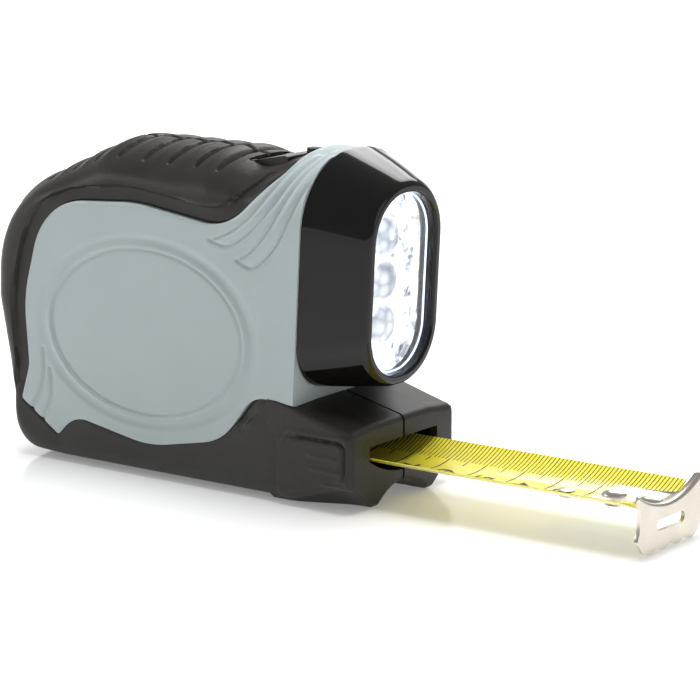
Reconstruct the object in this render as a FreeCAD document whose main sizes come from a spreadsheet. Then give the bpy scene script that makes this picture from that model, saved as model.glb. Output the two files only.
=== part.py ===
import FreeCAD, Part
import math
import os
from FreeCAD import Placement, Rotation, Vector

# Pocket tape measure with a three-LED lamp over the mouth.
# Row frame: +X towards the hook, +Z up, Y = 0 on the parting plane, origin on the
# base under the reel's axle. All sizes in millimetres.

doc = FreeCAD.newDocument("TapeMeasure")
sheet = doc.addObject("Spreadsheet::Sheet", "Sizes")

SIZES = [
    # case
    ("half_width", 19.8), ("rear_reach", 49.2), ("case_top", 76.1), ("nose_front", 58.5),
    ("front_foot_x", 42.3), ("front_foot_z", 22.7), ("front_lean", 3.0), ("rubber", 3.0),
    ("side_rubber", 2.5), ("wall", 2.0), ("crown_round", 17.5), ("slope_round", 12.0), ("rear_round", 9.0),
    ("foot_round", 6.0), ("shoulder_drop", 17.3), ("shoulder_round", 27.0),
    ("recess_rear", 20.7), ("recess_drop", 3.9), ("collar_rear", 38.0),
    ("groove_depth", 1.2), ("groove_width", 1.5), ("groove_pitch", 7.4),
    ("oval_x", 27.9), ("oval_z", 19.0), ("oval_groove", 1.3), ("oval_depth", 0.5),
    # nose and mouth
    ("nose_top", 18.7), ("nose_chamfer", 6.4), ("foot_half", 11.6), ("arch_half", 9.2),
    ("arch_rise", 4.0), ("arch_depth", 14.0), ("guide_rear", 34.0), ("guide_half", 14.4),
    ("guide_floor", 5.3), ("guide_roof", 15.6), ("mouth_lip", 2.0), ("fit_gap", 0.05),
    # blade
    ("blade_width", 25.0), ("blade_thick", 0.2), ("blade_sag", 3.3), ("blade_edge_z", 11.6),
    ("blade_rear", 31.5), ("blade_front", 125.4), ("slot_side_gap", 0.6),
    ("slot_below", 1.6), ("slot_above", 2.6),
    # reel
    ("reel_height", 34.0), ("axle_radius", 3.0), ("running_gap", 0.05), ("hub_inner", 11.0),
    ("hub_outer", 12.4), ("coil_radius", 20.8), ("flange_radius", 21.4), ("flange_thick", 1.0),
    ("flange_gap", 0.1), ("web_thick", 2.2), ("spring_inner", 4.0), ("spring_outer", 10.6),
    ("spring_margin", 1.5),
    # thumb brake
    ("lever_half", 6.8), ("lever_gap", 0.5), ("pivot_x", 29.8), ("pivot_drop", 5.7),
    ("pin_radius", 1.0), ("bracket_thick", 2.0), ("arm_half", 3.0), ("pad_half", 5.0),
    ("pad_gap", 0.3), ("pad_angle", 35.0), ("pad_thick", 2.4),
    # lamp
    ("head_depth", 15.0), ("base_half", 19.5), ("base_low", 2.5), ("base_high", 55.6),
    ("rim_half", 13.8), ("rim_low", 3.9), ("rim_high", 49.8), ("rim_width", 2.2),
    ("lens_recess", 2.6), ("lens_thick", 1.4), ("reflector_thick", 5.6), ("led_pitch", 10.0),
    ("optic_radius", 4.8), ("led_radius", 2.4), ("led_length", 6.6), ("board_thick", 1.6),
    ("button_x", 33.7), ("button_radius", 1.7), ("button_rise", 1.1), ("button_travel", 0.8),
    ("button_flange", 1.0), ("flange_drop", 1.9),
    # battery
    ("cell_radius", 5.8), ("cell_length", 5.4), ("cell_front", 40.4), ("cell_z", 36.4),
    ("holder_wall", 1.0), ("door_radius", 7.6), ("door_thick", 2.2), ("coin_slot", 1.6),
    # fasteners and clip
    ("screw_radius", 1.25), ("screw_head", 2.6), ("screw_sink", 3.2), ("screw_length", 22.0),
    ("boss_radius", 3.0), ("clip_thick", 1.0), ("clip_gap", 3.0), ("clip_half", 9.0),
    ("clip_top", 54.0), ("clip_foot", 12.0),
    # hook
    ("hook_thick", 1.0), ("hook_half", 12.4), ("hook_bottom", 0.5), ("hook_top", 12.7),
    ("hook_slot_half", 5.8), ("hook_slot_high", 2.4), ("hook_slot_z", 5.6),
    ("tongue_length", 16.0), ("tongue_half", 5.5), ("rivet_near", 4.0), ("rivet_pitch", 9.0),
    ("rivet_far", 25.0), ("rivet_radius", 1.5), ("rivet_head", 2.5), ("rivet_high", 0.8),
    ("plate_length", 29.0), ("plate_thick", 0.4), ("hook_float", 1.0),
]
for row, (alias, number) in enumerate(SIZES, start=1):
    sheet.set(f"A{row}", alias)
    sheet.set(f"B{row}", str(number))
    sheet.setAlias(f"B{row}", alias)
doc.recompute()

nodes = {}


def size(alias):
    """One driving size from the sheet."""
    return float(sheet.get(alias))


def keep(name, item):
    """Label a finished sub-part and list it for export under its node name."""
    item.Label = name
    nodes[name] = item
    return item


# ---------------------------------------------------------------- plain shape helpers

def rounded_edges(corners, place):
    """Closed run of lines and tangent arcs through (u, v, radius) corners."""
    count = len(corners)
    starts, middles, ends = [], [], []
    for index, (u, v, radius) in enumerate(corners):
        here = Vector(u, v, 0)
        last = corners[index - 1]
        following = corners[(index + 1) % count]
        back = (Vector(last[0], last[1], 0) - here).normalize()
        forth = (Vector(following[0], following[1], 0) - here).normalize()
        half = back.getAngle(forth) / 2
        reach = radius / math.tan(half)
        bisector = (back + forth).normalize()
        starts.append(here + back * reach)
        ends.append(here + forth * reach)
        middles.append(here + bisector * (radius / math.sin(half) - radius))
    edges = []
    for index in range(count):
        if corners[index][2] > 0:
            arc = Part.Arc(place(starts[index]), place(middles[index]), place(ends[index]))
            edges.append(arc.toShape())
        start, end = ends[index], starts[(index + 1) % count]
        if (end - start).Length > 1e-6:
            edges.append(Part.makeLine(place(start), place(end)))
    return edges


def side_face(corners):
    """Face in the plane Y = 0 from (x, z, radius) corners."""
    edges = rounded_edges(corners, lambda p: Vector(p.x, 0, p.y))
    return Part.Face(Part.Wire(edges))


def across(face, low, high):
    """Prism of a Y = 0 face from Y = low to Y = high."""
    return face.translated(Vector(0, low, 0)).extrude(Vector(0, high - low, 0))


def along(corners, low, high):
    """Prism along X from (y, z, radius) corners."""
    edges = rounded_edges(corners, lambda p: Vector(low, p.x, p.y))
    return Part.Face(Part.Wire(edges)).extrude(Vector(high - low, 0, 0))


def pin(radius, x, z, low, high):
    """Round bar along Y."""
    return Part.makeCylinder(radius, high - low, Vector(x, low, z), Vector(0, 1, 0))


def block(x_low, x_high, y_low, y_high, z_low, z_high):
    """Box between two corners."""
    low = Vector(x_low, y_low, z_low)
    return Part.makeBox(x_high - x_low, y_high - y_low, z_high - z_low, low)


def solid_feature(name, shape):
    """Part::Feature that holds one finished shape."""
    item = doc.addObject("Part::Feature", name)
    item.Shape = shape
    return keep(name, item)


# ---------------------------------------------------------------- PartDesign helpers

def plane_of(body, role):
    """One of a body's own origin planes or axes."""
    for feature in body.Origin.OriginFeatures:
        if feature.Role == role:
            return feature
    return None


def new_sketch(body, name, role, offset=0.0):
    """Sketch on one of the body's origin planes, shifted along its normal."""
    sketch = body.newObject("Sketcher::SketchObject", name)
    sketch.AttachmentSupport = [(plane_of(body, role), "")]
    sketch.MapMode = "FlatFace"
    sketch.AttachmentOffset = Placement(Vector(0, 0, offset), Rotation())
    return sketch


def draw_corners(sketch, corners):
    """Lines and tangent arcs of a rounded outline in a sketch's own plane."""
    for edge in rounded_edges(corners, lambda p: Vector(p.x, p.y, 0)):
        first = edge.valueAt(edge.FirstParameter)
        last = edge.valueAt(edge.LastParameter)
        if edge.Curve.TypeId == "Part::GeomLine":
            sketch.addGeometry(Part.LineSegment(first, last))
        else:
            centre = edge.valueAt((edge.FirstParameter + edge.LastParameter) / 2)
            sketch.addGeometry(Part.Arc(first, centre, last))


def pad(body, sketch, name, length):
    """Pad whose length is an expression."""
    feature = body.newObject("PartDesign::Pad", name)
    feature.Profile = sketch
    feature.setExpression("Length", length)
    return feature


def box_corners(half, low, high, radius):
    """Corners of an upright rounded rectangle centred on the first axis."""
    return [(-half, low, radius), (half, low, radius), (half, high, radius), (-half, high, radius)]


# ---------------------------------------------------------------- case outlines

half_width = size("half_width")
lean = math.tan(math.radians(size("front_lean")))
hard_half = half_width - size("side_rubber")
room_half = hard_half - size("wall")
reel_z = size("reel_height")
rear = -size("rear_reach")
top = size("case_top")
pivot_x, pivot_z = size("pivot_x"), top - size("pivot_drop")
recess_floor = top - size("recess_drop")
cell_radius = size("cell_radius")
holder_radius = cell_radius + 0.2 + size("holder_wall")
cell_x, cell_z = size("cell_front") - holder_radius, size("cell_z")


def front_x(z):
    """X of the leaning front plane at a height."""
    return size("front_foot_x") + (z - size("front_foot_z")) * lean


def case_corners(front_shift=0.0):
    """Side outline of the case; the front plane can be shifted forwards."""
    crown = top + 2.0
    return [
        (rear + 7.7, 0.0, 8.0),
        (front_x(0.0) + front_shift, 0.0, 0.0),
        (front_x(crown) + front_shift, crown, 0.0),
        (size("collar_rear"), top + 0.6, 0.0),
        (size("recess_rear"), recess_floor, 0.0),
        (size("recess_rear"), top - 1.6, 0.0),
        (14.0, top, 12.0),
        (-14.0, top, 12.0),
        (rear, top - size("shoulder_drop"), size("shoulder_round")),
        (rear - 0.6, reel_z + 4.0, 12.0),
    ]


def arched_bar(half, arch, foot_round, x, z, turn):
    """Long bar under a plane through (x, z) that falls back at an angle; arched along its top."""
    deep = 200.0
    low = -deep if foot_round == 0 else -z
    corners = [(-half, low, foot_round), (half, low, foot_round), (half, 0.0, arch), (-half, 0.0, arch)]
    bar = along(corners, -deep, deep)
    bar.rotate(Vector(0, 0, 0), Vector(0, 1, 0), -turn)
    bar.translate(Vector(x, 0, z))
    return bar


def crowned_block(corners, half, depth):
    """Prism of an outline with arched top, back slope, shoulder and rear, depth inside the skin."""
    block_shape = across(side_face(corners) if depth == 0 else inset(corners, depth), -half, half)
    slope = math.degrees(math.atan2(size("shoulder_drop"), -14.0 - rear))
    shoulder = (90 + slope) / 2
    turn = math.radians(shoulder)
    radius = size("shoulder_round")
    lean_back = math.tan(math.radians((90 - slope) / 2))
    centre_x, centre_z = rear + radius, top - size("shoulder_drop") - radius * lean_back
    bars = [
        (size("crown_round"), size("foot_round"), 0.0, top + 2.0, 0.0),
        (size("slope_round"), 0.0, -14.0, top, slope),
        (size("slope_round"), 0.0, centre_x - radius * math.sin(turn),
         centre_z + radius * math.cos(turn), shoulder),
        (size("rear_round"), 0.0, rear - 0.6, reel_z, 90.0),
    ]
    for arch, foot_round, x, z, angle in bars:
        inward = math.radians(angle)
        bar_x = x + depth * math.sin(inward)
        bar_z = z - depth * math.cos(inward)
        bar = arched_bar(half, arch - depth, foot_round, bar_x, bar_z, angle)
        block_shape = block_shape.common(bar)
    return block_shape


def panel_corners():
    """Side outline of the hard panel: wave along its top, foot lobe at the rear, dip in front."""
    far = front_x(top) + 6.0
    return [
        (far, top + 6.0, 0.0),
        (38.5, top + 6.0, 0.0),
        (37.0, top - 2.0, 6.0),
        (24.0, 60.2, 14.0),
        (-3.0, 63.8, 40.0),
        (-30.5, 61.8, 17.0),
        (-37.2, 38.0, 30.0),
        (-36.0, 22.0, 8.0),
        (-38.6, 13.6, 0.8),
        (-27.3, 6.2, 0.8),
        (-22.0, 11.4, 8.0),
        (0.5, 7.4, 30.0),
        (22.0, 11.6, 14.0),
        (31.0, 23.2, 7.0),
        (far, 21.8, 0.0),
    ]


def inset(corners, distance):
    """Side face moved inwards all round."""
    return side_face(corners).makeOffset2D(-distance)


# ---------------------------------------------------------------- mouth and nose

def mouth_slot(x_low, x_high):
    """Way for the blade: flat roof and a floor that follows the blade's curve."""
    half = size("blade_width") / 2 + size("slot_side_gap")
    edge_z = size("blade_edge_z")
    roof = edge_z + size("slot_above")
    side = edge_z - size("slot_below") / 2
    low = edge_z - size("blade_sag") - size("slot_below")
    floor = Part.Arc(Vector(x_low, -half, side), Vector(x_low, 0, low), Vector(x_low, half, side))
    lines = [
        Part.makeLine(Vector(x_low, half, side), Vector(x_low, half, roof)),
        Part.makeLine(Vector(x_low, half, roof), Vector(x_low, -half, roof)),
        Part.makeLine(Vector(x_low, -half, roof), Vector(x_low, -half, side)),
    ]
    wire = Part.Wire([floor.toShape()] + lines)
    return Part.Face(wire).extrude(Vector(x_high - x_low, 0, 0))


def guide_block(gap):
    """Outside of the mouth guide, or of its seat when gap is positive."""
    half = size("guide_half") + gap
    front = size("nose_front") - size("mouth_lip")
    return block(size("guide_rear") - gap, front + gap, -half, half,
                 size("guide_floor") - gap, size("guide_roof") + gap)


def nose_block():
    """Rubber nose: chamfered feet, sloping roof and a scooped arch under the front."""
    front = size("nose_front")
    section = [
        (-half_width, size("nose_chamfer"), 1.0), (-size("foot_half"), 0.0, 1.0),
        (size("foot_half"), 0.0, 1.0), (half_width, size("nose_chamfer"), 1.0),
        (half_width, top, 0.0), (-half_width, top, 0.0),
    ]
    profile = [
        (front_x(0.0), 0.0, 0.0), (front, 0.0, 0.0), (front, size("nose_top"), 1.2),
        (front_x(size("front_foot_z")), size("front_foot_z"), 0.0),
    ]
    nose = along(section, front_x(0.0), front)
    nose = nose.common(across(side_face(profile), -half_width, half_width))
    rise = size("arch_rise")
    radius = (size("arch_half") ** 2 + rise ** 2) / (2 * rise)
    arch = Part.makeCylinder(radius, size("arch_depth") + 1, Vector(front + 1, 0, rise - radius),
                             Vector(-1, 0, 0))
    return nose.cut(arch)


# ---------------------------------------------------------------- openings cut in the case

SCREW_SPOTS = [(-33.0, 15.5), (-30.0, 54.0), (15.0, top - 13.1), (36.4, 24.5)]


def lever_well(gap):
    """Well in the top for the thumb lever, open down into the case."""
    half = size("lever_half") + gap
    return block(size("recess_rear"), size("pivot_x") + 1.9, -half, half, reel_z + 24, top + 8)


def button_hole(gap):
    """Upright hole for the lamp button, wider below its flange's top."""
    radius = size("button_radius") + gap
    foot = Vector(size("button_x"), 0, reel_z + 24)
    step = pivot_z - size("flange_drop") + size("fit_gap")
    wide = Part.makeCylinder(radius + size("button_flange"), step - foot.z, foot)
    return wide.fuse(Part.makeCylinder(radius, 30, foot))


def door_seat(gap):
    """Stepped round hole for the battery door in the far side."""
    x, z = cell_x, cell_z
    face = half_width - size("door_thick")
    outer = pin(size("door_radius") + gap, x, z, face, half_width + 1)
    inner = pin(size("cell_radius") + 0.6 + gap, x, z, room_half - 1, face + 0.5)
    return outer.fuse(inner)


def screw_holes():
    """Clearance holes and head sinks of the case screws, from the far side."""
    holes = []
    head_floor = half_width - size("screw_sink")
    for x, z in SCREW_SPOTS:
        shank = pin(size("screw_radius") + size("fit_gap"), x, z,
                    head_floor - size("screw_length"), half_width)
        head = pin(size("screw_head") + 0.3, x, z, head_floor, half_width + 1)
        holes.append(shank.fuse(head))
    return holes


def bosses():
    """Screw posts from side wall to side wall."""
    return [pin(size("boss_radius"), x, z, -room_half, room_half) for x, z in SCREW_SPOTS]


def brackets():
    """Two ears under the roof that carry the lever's pin."""
    inner = size("lever_half") + size("lever_gap")
    outer = inner + size("bracket_thick")
    x, z = pivot_x, pivot_z
    ears = [block(x - 2.5, x + 2.5, inner, outer, z - 3, z + 1.5),
            block(x - 2.5, x + 2.5, -outer, -inner, z - 3, z + 1.5)]
    return ears


def half_space(side):
    """Everything on one side of the parting plane."""
    if side < 0:
        return block(-100, 150, -60, 0, -20, 120)
    return block(-100, 150, 0, 60, -20, 120)


def oval_groove():
    """Oval groove band in both side faces."""
    band = size("oval_groove")
    centre = Vector(0, 0, reel_z)
    depth = size("oval_depth")
    grooves = []
    for side in (-1, 1):
        tools = []
        for grow in (band, 0.0):
            ellipse = Part.Ellipse(Vector(0, 0, 0), size("oval_x") + grow, size("oval_z") + grow)
            face = Part.Face(Part.Wire([ellipse.toShape()]))
            face.rotate(Vector(0, 0, 0), Vector(1, 0, 0), 90)
            face.translate(centre + Vector(0, side * (half_width - depth), 0))
            tools.append(face.extrude(Vector(0, side * 3, 0)))
        grooves.append(tools[0].cut(tools[1]))
    return grooves


rubber = size("rubber")
skin = rubber + size("wall")
outer_case = crowned_block(case_corners(), half_width, 0.0)
hard_core = crowned_block(case_corners(rubber), hard_half, rubber)
room = crowned_block(case_corners(rubber), room_half, skin)
panel_prism = across(side_face(panel_corners()), -half_width - 1, half_width + 1)

hard_shell = hard_core.fuse(outer_case.common(panel_prism)).cut(room)
inner_posts = bosses() + brackets()
hard_shell = hard_shell.fuse([post.common(room) for post in inner_posts])
pivot_hole = pin(size("pin_radius") + size("fit_gap"), pivot_x, pivot_z,
                 -size("lever_half") - size("lever_gap") - size("bracket_thick"),
                 size("lever_half") + size("lever_gap") + size("bracket_thick"))
shell_cuts = [guide_block(size("fit_gap")), lever_well(size("lever_gap")), button_hole(0.25),
              door_seat(size("fit_gap")), pivot_hole] + screw_holes() + oval_groove()
hard_shell = hard_shell.cut(shell_cuts)

grip = outer_case.cut([hard_core, panel_prism]).fuse(nose_block().cut(hard_core))
grip_cuts = [guide_block(size("fit_gap")), lever_well(size("lever_gap")), button_hole(0.25),
             mouth_slot(size("guide_rear"), size("nose_front") + 1),
             door_seat(size("fit_gap"))] + screw_holes()
for number in range(8):
    groove_x = 17.0 - number * size("groove_pitch")
    half_groove = size("groove_width") / 2
    for side in (-1, 1):
        low, high = sorted((side * 1.0, side * (half_width - 5.5)))
        grip_cuts.append(block(groove_x - half_groove, groove_x + half_groove, low, high,
                               top - size("groove_depth"), top + 5))
grip = grip.cut(grip_cuts)


def main_solid(shape):
    """Largest solid of a shape, refined."""
    solids = sorted(shape.Solids, key=lambda piece: piece.Volume)
    return solids[-1].removeSplitter()


for side, word in ((-1, "left"), (1, "right")):
    solid_feature(f"{word}_case", main_solid(hard_shell.common(half_space(side))))
    solid_feature(f"{word}_grip", main_solid(grip.common(half_space(side))))

# ---------------------------------------------------------------- mouth guide and blade

guide = guide_block(0.0).cut(mouth_slot(size("guide_rear") - 1, size("nose_front")))
solid_feature("mouth_guide", guide)


def blade_band(x_low, x_high, half, low_offset, high_offset):
    """Curved strip that follows the blade's section, between two offsets above its underside."""
    full = size("blade_width") / 2
    sag = size("blade_sag")
    radius = (full ** 2 + sag ** 2) / (2 * sag)
    centre_z = size("blade_edge_z") - sag + radius
    angle = math.asin(half / radius)

    def arc_point(offset, part):
        reach = radius - offset
        return Vector(x_low, reach * math.sin(part * angle), centre_z - reach * math.cos(part * angle))

    low = Part.Arc(arc_point(low_offset, -1), arc_point(low_offset, 0), arc_point(low_offset, 1))
    high = Part.Arc(arc_point(high_offset, 1), arc_point(high_offset, 0), arc_point(high_offset, -1))
    sides = [Part.makeLine(arc_point(low_offset, 1), arc_point(high_offset, 1)),
             Part.makeLine(arc_point(high_offset, -1), arc_point(low_offset, -1))]
    wire = Part.Wire([low.toShape(), sides[0], high.toShape(), sides[1]])
    return Part.Face(wire).extrude(Vector(x_high - x_low, 0, 0))


blade_thick = size("blade_thick")
blade_front = size("blade_front")
hook_face = blade_front + size("hook_thick") + 0.1
rivet_low_z = size("blade_edge_z") - size("blade_sag")
rivet_spots = [hook_face - size("rivet_near") - size("rivet_pitch"), hook_face - size("rivet_near")]
far_rivet = hook_face - size("rivet_far")

blade = blade_band(size("blade_rear"), blade_front, size("blade_width") / 2, 0.0, blade_thick)
blade_holes = [Part.makeCylinder(size("rivet_radius"), 8, Vector(x, 0, rivet_low_z - 4))
               for x in rivet_spots + [far_rivet]]
solid_feature("tape_blade", blade.cut(blade_holes))

plate_thick = size("plate_thick")
plate = blade_band(hook_face - size("plate_length"), hook_face - 2.2, size("tongue_half") - 1,
                   -plate_thick, 0.0)
solid_feature("hook_plate", plate.cut(blade_holes))

# ---------------------------------------------------------------- hook and rivets

hook_thick = size("hook_thick")
tongue = blade_band(hook_face - size("tongue_length"), hook_face, size("tongue_half"),
                    blade_thick + 0.05, blade_thick + 0.05 + hook_thick)
float_room = size("hook_float") / 2 + 0.1
for x in rivet_spots:
    slot_radius = size("rivet_radius") + 0.1
    for shift in (0.0, size("hook_float")):
        tongue = tongue.cut(Part.makeCylinder(slot_radius, 12, Vector(x + shift, 0, rivet_low_z - 2)))
    middle = block(x, x + size("hook_float"), -slot_radius, slot_radius,
                   rivet_low_z - 2, rivet_low_z + 8)
    tongue = tongue.cut(middle)


def hook_plate_shape():
    """Front plate: curved top edge, flared and scalloped foot, long slot."""
    half = size("hook_half")
    low, high = size("hook_bottom"), size("hook_top")
    sag = size("blade_sag")
    x = hook_face

    def spot(y, z):
        return Vector(x, y, z)

    edges = [Part.Arc(spot(-half, high), spot(0, high - sag), spot(half, high)).toShape()]
    flare = half + 0.7
    edges.append(Part.makeLine(spot(half, high), spot(half, low + 4.2)))
    side_arc = Part.Arc(spot(half, low + 4.2), spot(flare, low + 2.4), spot(half - 1.2, low + 0.6))
    edges.append(side_arc.toShape())
    lobes = 4
    step = 2 * (half - 1.2) / lobes
    for lobe in range(lobes):
        right = half - 1.2 - lobe * step
        left = right - step
        edges.append(Part.Arc(spot(right, low + 0.6), spot((right + left) / 2, low),
                              spot(left, low + 0.6)).toShape())
    edges.append(Part.Arc(spot(-half + 1.2, low + 0.6), spot(-flare, low + 2.4),
                          spot(-half, low + 4.2)).toShape())
    edges.append(Part.makeLine(spot(-half, low + 4.2), spot(-half, high)))
    face = Part.Face(Part.Wire(edges))
    slot_half = size("hook_slot_high") / 2
    z = size("hook_slot_z")
    reach = size("hook_slot_half")
    slot = along([(-reach, z - slot_half, slot_half - 0.01), (reach, z - slot_half, slot_half - 0.01),
                  (reach, z + slot_half, slot_half - 0.01), (-reach, z + slot_half, slot_half - 0.01)],
                 x - 1, x + hook_thick + 1)
    return face.extrude(Vector(hook_thick, 0, 0)).cut(slot)


hook = tongue.fuse(hook_plate_shape())
solid_feature("hook", main_solid(hook))

rivet_parts = []
tongue_top = rivet_low_z + blade_thick + 0.05 + hook_thick
for x in rivet_spots:
    stem_low = rivet_low_z - plate_thick - size("rivet_high")
    shank = Part.makeCylinder(size("rivet_radius"), tongue_top + 0.6 - stem_low, Vector(x, 0, stem_low))
    head = Part.makeCylinder(size("rivet_head"), size("rivet_high"), Vector(x, 0, tongue_top + 0.6))
    tail = Part.makeCylinder(size("rivet_radius") + 0.6, size("rivet_high"), Vector(x, 0, stem_low))
    rivet_parts.append(shank.fuse([head, tail]).removeSplitter())
stem_low = rivet_low_z - plate_thick - size("rivet_high")
flush = Part.makeCylinder(size("rivet_radius"), rivet_low_z + 0.6 - stem_low,
                          Vector(far_rivet, 0, stem_low))
flush_tail = Part.makeCylinder(size("rivet_radius") + 0.6, size("rivet_high"),
                               Vector(far_rivet, 0, stem_low))
rivet_parts.append(flush.fuse(flush_tail).removeSplitter())
solid_feature("hook_rivets", Part.makeCompound(rivet_parts))

# ---------------------------------------------------------------- reel


def reel_body(name, points):
    """Turned piece about the axle from (radius, y) points."""
    body = doc.addObject("PartDesign::Body", name)
    sketch = new_sketch(body, f"{name}_profile", "XY_Plane")
    draw_corners(sketch, [(radius, y, 0.0) for radius, y in points])
    turn = body.newObject("PartDesign::Revolution", f"{name}_turn")
    turn.Profile = sketch
    turn.ReferenceAxis = (sketch, ["V_Axis"])
    turn.Angle = 360
    body.Placement = Placement(Vector(0, 0, reel_z), Rotation())
    return keep(name, body)


blade_half = size("blade_width") / 2
flange_low = blade_half + size("flange_gap")
flange_high = flange_low + size("flange_thick")
bore = size("axle_radius") + size("running_gap")
hub_inner, hub_outer = size("hub_inner"), size("hub_outer")
flange_radius = size("flange_radius")
web_low = flange_high - size("web_thick")
reel_body("reel_drum", [
    (bore, web_low), (hub_inner, web_low), (hub_inner, -flange_high), (flange_radius, -flange_high),
    (flange_radius, -flange_low), (hub_outer, -flange_low), (hub_outer, flange_low),
    (flange_radius, flange_low), (flange_radius, flange_high), (bore, flange_high)])
reel_body("tape_coil", [
    (hub_outer, -blade_half), (size("coil_radius"), -blade_half),
    (size("coil_radius"), blade_half), (hub_outer, blade_half)])
spring_half = web_low - size("spring_margin")
reel_body("power_spring", [
    (size("spring_inner"), -spring_half), (size("spring_outer"), -spring_half),
    (size("spring_outer"), spring_half), (size("spring_inner"), spring_half)])

axle = doc.addObject("Part::Cylinder", "reel_axle")
axle.setExpression("Radius", "Sizes.axle_radius")
axle.setExpression("Height", "2 * (Sizes.half_width - Sizes.side_rubber - Sizes.wall)")
axle.Placement = Placement(Vector(0, room_half, reel_z), Rotation(Vector(1, 0, 0), 90))
keep("reel_axle", axle)

# ---------------------------------------------------------------- thumb brake

lever_half = size("lever_half")
pad_turn = math.radians(size("pad_angle"))
pad_reach = size("coil_radius") + size("pad_gap")
pad_x = pad_reach * math.cos(pad_turn)
pad_z = reel_z + pad_reach * math.sin(pad_turn)
lever_rear = size("recess_rear") + size("lever_gap") + 0.5
thumb_plate = across(side_face([
    (lever_rear, recess_floor + 1.9, 0.6), (lever_rear, recess_floor - 1.6, 0.4),
    (pivot_x - 2.0, recess_floor - 2.0, 0.4), (pivot_x - 2.0, pivot_z - 1.9, 0.6),
    (pivot_x + 1.5, pivot_z - 1.9, 0.6), (pivot_x + 1.5, top - 0.1, 0.8)]), -lever_half, lever_half)
arm_half = size("arm_half")
arm = across(side_face([
    (pivot_x - 4.5, recess_floor - 1.9, 0.0), (pad_x + 3.2, pad_z + 10.0, 6.0),
    (pad_x + 2.2, pad_z - 1.5, 0.0), (pad_x + 5.6, pad_z - 1.0, 0.0), (pad_x + 6.4, pad_z + 9.0, 6.0),
    (pivot_x - 0.5, pivot_z - 1.0, 0.0), (pivot_x - 0.5, recess_floor - 1.9, 0.0)]),
    -arm_half, arm_half)
lever_bore = pin(size("pin_radius") + size("running_gap"), pivot_x, pivot_z, -half_width, half_width)
lever = thumb_plate.fuse(arm).cut(lever_bore)
pad_outer = pin(pad_reach + size("pad_thick"), 0, reel_z, -size("pad_half"), size("pad_half"))
pad_inner = pin(pad_reach, 0, reel_z, -size("pad_half"), size("pad_half"))
pad_window = block(pad_x - 1.2, pad_x + 6.0, -size("pad_half"), size("pad_half"), pad_z - 5.0, pad_z + 3.4)
brake_pad = pad_outer.cut(pad_inner).common(pad_window)
lever = lever.cut(pin(pad_reach + size("pad_thick"), 0, reel_z, -half_width, half_width))
solid_feature("thumb_lever", main_solid(lever))
solid_feature("brake_pad", main_solid(brake_pad))

pin_half = lever_half + size("lever_gap") + size("bracket_thick")
lever_pin = doc.addObject("Part::Cylinder", "lever_pin")
lever_pin.setExpression("Radius", "Sizes.pin_radius")
lever_pin.setExpression("Height", "2 * (Sizes.lever_half + Sizes.lever_gap + Sizes.bracket_thick)")
lever_pin.Placement = Placement(Vector(pivot_x, pin_half, pivot_z), Rotation(Vector(1, 0, 0), 90))
keep("lever_pin", lever_pin)

# ---------------------------------------------------------------- lamp button and switch

button_x = size("button_x")
button_top = top + size("button_rise")
button_low = pivot_z - size("flange_drop")
cap = Part.makeCylinder(size("button_radius"), button_top - button_low, Vector(button_x, 0, button_low))
flange_z = pivot_z - 3.4
cap = cap.fuse(Part.makeCylinder(size("button_radius") + size("button_flange"), button_low - flange_z,
                                 Vector(button_x, 0, flange_z)))
solid_feature("lamp_button", cap.removeSplitter())
switch_top = flange_z - size("button_travel") - 0.1
solid_feature("lamp_switch", block(button_x - 2.9, button_x + 2.9, -3.0, 3.0, switch_top - 3.6, switch_top))
solid_feature("switch_board", block(button_x - 3.4, button_x + 3.4, 0.1 - room_half, room_half - 0.1,
                                    switch_top - 5.2, switch_top - 3.6))

# ---------------------------------------------------------------- lamp head
# Built upright against the front plane: local X is the distance in front of that plane,
# local Z the height above its foot, then turned by the front's lean.

head_place = Placement(Vector(size("front_foot_x"), 0, size("front_foot_z")),
                       Rotation(Vector(0, 1, 0), size("front_lean")))
head_depth = size("head_depth")
base_half, base_low, base_high = size("base_half"), size("base_low"), size("base_high")
rim_half, rim_low, rim_high = size("rim_half"), size("rim_low"), size("rim_high")
opening_half = rim_half - size("rim_width")
opening_low = rim_low + size("rim_width")
opening_high = rim_high - size("rim_width")
optic_z = (rim_low + rim_high) / 2


def base_corners(half, low, high):
    """Lamp base outline: rounder at the top than at the bottom."""
    return [(-half, low, 11.0), (half, low, 11.0), (half, high, 17.0), (-half, high, 17.0)]


housing = doc.addObject("PartDesign::Body", "lamp_housing")
base_sketch = new_sketch(housing, "lamp_base", "YZ_Plane")
draw_corners(base_sketch, base_corners(base_half, base_low, base_high))
rim_sketch = new_sketch(housing, "lamp_rim", "YZ_Plane", head_depth)
draw_corners(rim_sketch, box_corners(rim_half, rim_low, rim_high, rim_half - 0.8))
rim_sketch.setExpression("AttachmentOffset.Base.z", "Sizes.head_depth")
loft = housing.newObject("PartDesign::AdditiveLoft", "lamp_skin")
loft.Profile = base_sketch
loft.Sections = [rim_sketch]
loft.Ruled = True
doc.recompute()
full_volume = housing.Shape.Volume
well_sketch = new_sketch(housing, "lamp_well", "YZ_Plane", head_depth)
draw_corners(well_sketch, box_corners(opening_half, opening_low, opening_high, opening_half - 0.8))
well_sketch.setExpression("AttachmentOffset.Base.z", "Sizes.head_depth")
well = housing.newObject("PartDesign::Pocket", "lamp_bore")
well.Profile = well_sketch
well.Type = "ThroughAll"
doc.recompute()
assert housing.Shape.Volume < full_volume - 100, "the lamp bore cuts nothing"
housing.Placement = head_place
keep("lamp_housing", housing)


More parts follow.
